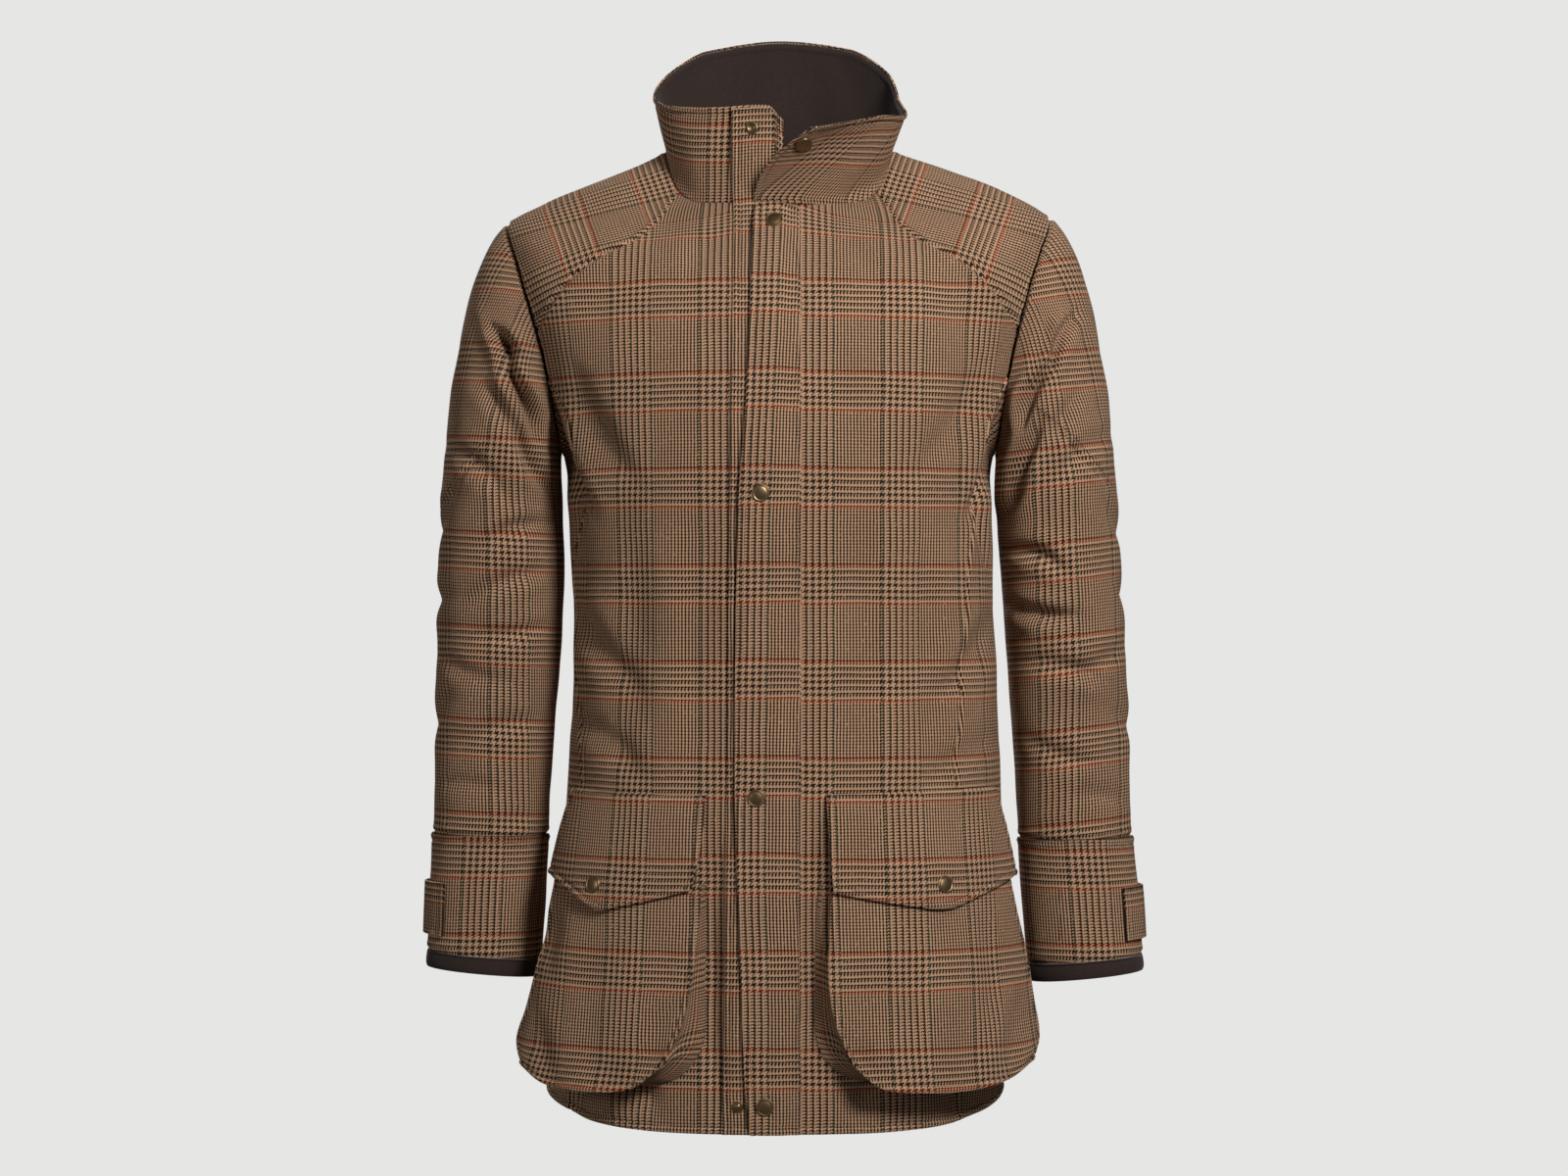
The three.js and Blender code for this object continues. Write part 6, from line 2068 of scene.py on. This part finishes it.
@dataclass(frozen=True)
class Cut:
    """Flat size of one piece without seam allowance.

    Args:
        width: Width across the warp in millimetres; not used.
        length: Length along the warp; not used.
        share: Share of that rectangle which the piece fills; not used.
        sewn_to: Pieces that carry it.
        held: How it is held; not used.
    """

    width: float
    length: float
    share: float
    sewn_to: tuple = ()
    held: Held = Held.HUNG

    def declare(self, piece: bpy.types.Object) -> None:
        """Lists the cloth names of the pieces that carry it; the list is not kept."""
        [f"{name}_cloth" for name in self.sewn_to]


CUTS = {
    "yoke_left": Cut(260, 245, 0.49, (), Held.DRAPED),
    "yoke_right": Cut(270, 245, 0.48, (), Held.DRAPED),
    "front_left": Cut(320, 850, 0.60, ("yoke_left",)),
    "front_right": Cut(300, 850, 0.57, ("yoke_right",)),
    "side_left": Cut(180, 670, 0.63, ("front_left",)),
    "side_right": Cut(195, 665, 0.76, ("front_right",)),
    "back": Cut(675, 895, 0.59, ("yoke_left", "yoke_right"), Held.DRAPED),
    "sleeve_left": Cut(525, 560, 0.60, ("yoke_left", "front_left")),
    "sleeve_right": Cut(530, 565, 0.59, ("yoke_right", "front_right")),
    "cuff_left": Cut(330, 110, 0.94, ("sleeve_left",)),
    "cuff_right": Cut(330, 110, 0.95, ("sleeve_right",)),
    "cuff_binding_left": Cut(315, 17, 0.97, ("cuff_left",)),
    "cuff_binding_right": Cut(315, 17, 0.97, ("cuff_right",)),
    "cuff_tab_left": Cut(100, 46, 0.98, ("cuff_left",)),
    "cuff_tab_right": Cut(100, 46, 0.98, ("cuff_right",)),
    "collar": Cut(670, 108, 0.71, ("front_left", "front_right", "back")),
    "collar_lining": Cut(660, 105, 0.71, ("collar",)),
    "storm_flap": Cut(58, 815, 0.90, ("front_right",)),
    "snap_strip": Cut(47, 900, 0.88, ("front_left",)),
    "pocket_face_left": Cut(190, 230, 0.87, ("front_left",)),
    "pocket_face_right": Cut(230, 230, 0.87, ("front_right",)),
    "pocket_flap_left": Cut(180, 105, 0.82, ("front_left",)),
    "pocket_flap_right": Cut(215, 105, 0.84, ("front_right",)),
    "pocket_gusset_left": Cut(500, 48, 0.52, ("pocket_face_left", "front_left")),
    "pocket_gusset_right": Cut(530, 48, 0.56, ("pocket_face_right", "front_right")),
}


# The whole.
class Jacket:
    """Builds every piece of the jacket in order."""

    slit_places = {Side.LEFT: (-171, -491), Side.RIGHT: (161, -489)}
    cap_places = {"neck": (-2.6, -69), "chest": (-13.8, -306), "waist": (-17.8, -566), "hem": (-10.1, -828)}

    def __init__(self) -> None:
        """Makes the finishes."""
        self.tweed = Tweed().material()
        self.moleskin = MOLESKIN.material()
        self.brass = ANTIQUE_BRASS.material()
        self.thread = THREAD.material()
        self.sewing = Stitching("stitching")

    def _put(self, cloth: Cloth, slot: str = "tweed") -> bpy.types.Object:
        """Builds a piece of cloth in place of the frame's node of the same name."""
        material = self.tweed if slot == "tweed" else self.moleskin
        piece = cloth.build(slot, material)
        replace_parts(piece, cloth.name)
        CUTS[cloth.name].declare(piece)
        return piece

    def body(self) -> None:
        """Fronts, sides, yokes and back."""
        for panel in Body().panels():
            cloth = panel.cloth()
            self._put(cloth)
            for side, place in self.slit_places.items():
                if panel.name == f"front_{side.word}":
                    self._pocket_slit(cloth, place, side.value)
            if panel.name.startswith("yoke"):
                self.sewing.run(cloth.line_at("first", 6.0))
                self.sewing.run(cloth.line_at("last", 6.0))
            else:
                self.sewing.run(cloth.line_at("bottom", HEM_STITCH))

    def _pocket_slit(self, cloth: Cloth, place: tuple[float, float], sign: int) -> None:
        """Sews the bar tack and the edge of the hand pocket in a side seam."""
        x, z = place
        for aside in (-0.9, 0.0, 0.9):
            self.sewing.run(cloth.line_seen(((x + aside, z + 5), (x + aside, z - 5))))
        self.sewing.run(cloth.line_seen(((x + 2, z - 6), (x + 3.5 - sign, z - 64))))

    def sleeves(self) -> None:
        """Sleeves, cuffs, bindings and tabs."""
        for sleeve in (LEFT_SLEEVE, RIGHT_SLEEVE):
            arm = sleeve.cloth()
            self._put(arm)
            cuff = sleeve.cuff()
            self.sewing.run(arm.line_seen(sleeve.dart, 2.4))
            self.sewing.run(arm.line_seen(sleeve.dart, -2.4))
            self.sewing.run(cuff.line_seen(sleeve.pleat))
            self._put(cuff)
            self._put(sleeve.binding(), "brushed_lining")
            tab = sleeve.tab()
            self._put(tab)
            self.sewing.run(cuff.line_at("bottom", HEM_STITCH))
            for side in ("first", "last"):
                self.sewing.run(tab.line_at(side, 4.0))

    def collar(self) -> None:
        """Collar and its lining."""
        cloth = COLLAR.cloth()
        self._put(cloth)
        self._put(COLLAR.lining(cloth), "brushed_lining")
        for side in ("first", "last", "top"):
            self.sewing.run(cloth.line_at(side, HEM_STITCH))

    def front_edge(self) -> None:
        """Covering flap and strip."""
        flap = self.flap = FRONT_EDGE.flap(list(self.cap_places.values()))
        strip = self.strip = FRONT_EDGE.strip()
        self._put(flap)
        self._put(strip)
        self.sewing.run(flap.line_at("first", HEM_STITCH))
        self.sewing.run(flap.line_at("last", 3.0))
        self.sewing.run(flap.line_at("bottom", HEM_STITCH))
        self.sewing.run(strip.line_at("first", HEM_STITCH))

    def pockets(self) -> None:
        """Both bellows pockets with their snaps."""
        for pocket in (LEFT_POCKET, RIGHT_POCKET):
            face, flap = pocket.face(), pocket.flap_cloth()
            self._put(face)
            self._put(flap)
            self._put(pocket.gusset(face))
            for side in ("first", "last", "top"):
                self.sewing.run(face.line_at(side, HEM_STITCH))
                self.sewing.run(flap.line_at(side, HEM_STITCH))
            self._snap_on(flap, f"snap_cap_pocket_{pocket.side.word}", pocket.snap[0], pocket.snap[1])

    def _snap_on(self, cloth: Cloth, name: str, x: float, z: float, shape: SnapShape = SnapShape.CAP) -> None:
        """Seats a snap part on a piece of cloth where it is seen at x and z."""
        points, normals = cloth.points, cloth.normals()
        spot = np.unravel_index(np.argmin(np.hypot(points[..., 0] - x, points[..., 2] - z)), points.shape[:2])
        near = np.linalg.norm(points - points[spot], axis=-1) < 7
        way = unit(normals[near].mean(axis=0))
        base = points[near].mean(axis=0)
        base = np.array([x, base[1], z])
        piece = Snap(name, base, way, shape, seat=0.35).build(self.brass)
        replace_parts(piece, name)

    def snaps(self) -> None:
        """Snap parts of the front edge and the collar."""
        for word, (x, z) in self.cap_places.items():
            self._snap_on(self.flap, f"snap_cap_{word}", x, z)
        self._snap_on(self.strip, "snap_stud_hem", -33.5, -828, SnapShape.STUD)
        lift = FRONT_EDGE.strip_lift + FRONT_EDGE.strip_cloth
        places = {
            "snap_socket_collar": (-12, 0.75, lift + 0.5, SnapShape.SOCKET),
            "snap_cap_collar": (-362.5, 0.76, 0.5, SnapShape.CAP),
        }
        for name, (bearing, height, rise, shape) in places.items():
            base, way = COLLAR.seat(bearing, height, rise)
            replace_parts(Snap(name, base, way, shape).build(self.brass), name)

    def build(self) -> None:
        """Builds everything."""
        for step in (self.body, self.sleeves, self.collar, self.front_edge, self.pockets, self.snaps):
            step()
        self.sewing.build(self.thread)


@dataclass(frozen=True)
class Studio:
    """Pale even background, soft lights and the camera, in metres.

    Args:
        radius: Radius of the round wall.
        floor: Height of the floor.
        distance: Distance of the camera.
        aim: Where on the jacket it points, in x and z.
        view: Width that the camera sees at its distance.
    """

    radius: float = 14.0
    floor: float = -2.6
    distance: float = 3.5
    aim: tuple = (0.006, -0.387)
    view: float = 1.392

    def build(self) -> None:
        """Sets the scene up."""
        self._backdrop()
        self._lights()
        self._camera()
        bpy.context.scene.view_settings.view_transform = "Standard"

    def _backdrop(self) -> None:
        """A pale floor and round wall of even brightness, which throws no light on the jacket."""
        turn, rise = np.linspace(0, FULL_TURN, 49), np.linspace(-math.pi / 2, math.pi / 2, 25)
        flat = self.radius * np.cos(rise)[:, None]
        height = np.maximum(self.radius * np.sin(rise), self.floor)[:, None]
        points = np.stack(np.broadcast_arrays(flat * np.cos(turn), flat * np.sin(turn), height), axis=-1) / MM
        at = np.arange(points.shape[0] * points.shape[1]).reshape(points.shape[:2])
        faces = np.stack([at[:-1, :-1], at[1:, :-1], at[1:, 1:], at[:-1, 1:]], axis=-1).reshape(-1, 4)
        paper = bpy.data.materials.new("paper, matt white, evenly lit")
        paper.use_nodes = True
        tree = paper.node_tree
        glow = add(tree, "ShaderNodeEmission", {"Color": linear("#e6e6e5"), "Strength": 1.0})
        tree.links.new(glow.outputs[0], tree.nodes["Material Output"].inputs["Surface"])
        room = make_mesh("backdrop", points.reshape(-1, 3), faces, paper)
        for kind in ("diffuse", "glossy", "transmission", "shadow"):
            setattr(room, f"visible_{kind}", False)
        room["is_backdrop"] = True

    def _lights(self) -> None:
        """A soft key high on the right, a weak fill on the left, light from above and a dim room."""
        world = bpy.data.worlds.new("soft room")
        bpy.context.scene.world = world
        world.use_nodes = True
        background = world.node_tree.nodes["Background"]
        background.inputs[0].default_value = (1.0, 1.0, 1.0, 1.0)
        background.inputs[1].default_value = 0.12
        for name, place, size, power in (
            ("key", (1.1, -1.9, 0.8), 0.7, 56.0),
            ("fill", (-2.4, -2.2, 0.1), 1.0, 13.0),
            ("top", (0.2, 0.6, 2.2), 1.2, 9.0),
            ("rear", (-0.9, 3.0, 1.0), 1.4, 70.0),
        ):
            data = bpy.data.lights.new(name, "AREA")
            data.shape = "DISK"
            data.size = size
            data.energy = power
            lamp = bpy.data.objects.new(name, data)
            lamp.visible_camera = False
            lamp.location = place
            aim = Vector((0.0, 0.0, -0.4)) - Vector(place)
            lamp.rotation_euler = aim.to_track_quat("-Z", "Y").to_euler()
            bpy.context.scene.collection.objects.link(lamp)
            lamp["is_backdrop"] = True

    def _camera(self) -> None:
        """Level camera in front of the middle of the jacket."""
        data = bpy.data.cameras.new("front")
        data.sensor_width = 36.0
        data.lens = data.sensor_width * self.distance / self.view
        camera = bpy.data.objects.new("front", data)
        camera.location = (self.aim[0], -self.distance, self.aim[1])
        camera.rotation_euler = (math.pi / 2, 0.0, 0.0)
        bpy.context.scene.collection.objects.link(camera)
        bpy.context.scene.camera = camera


def write_size() -> None:
    """Works out the box of the solids and of the visual model."""
    boxes = {"cad": cad_box, "visual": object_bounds()}
    plain = {name: [list(low), list(high)] for name, (low, high) in boxes.items()}


def main() -> None:
    """Builds the jacket and its studio."""
    logging.basicConfig(level=logging.INFO, format="%(name)s: %(message)s")
    Jacket().build()
    Studio().build()
    write_size()


if __name__ == "__main__":
    main()
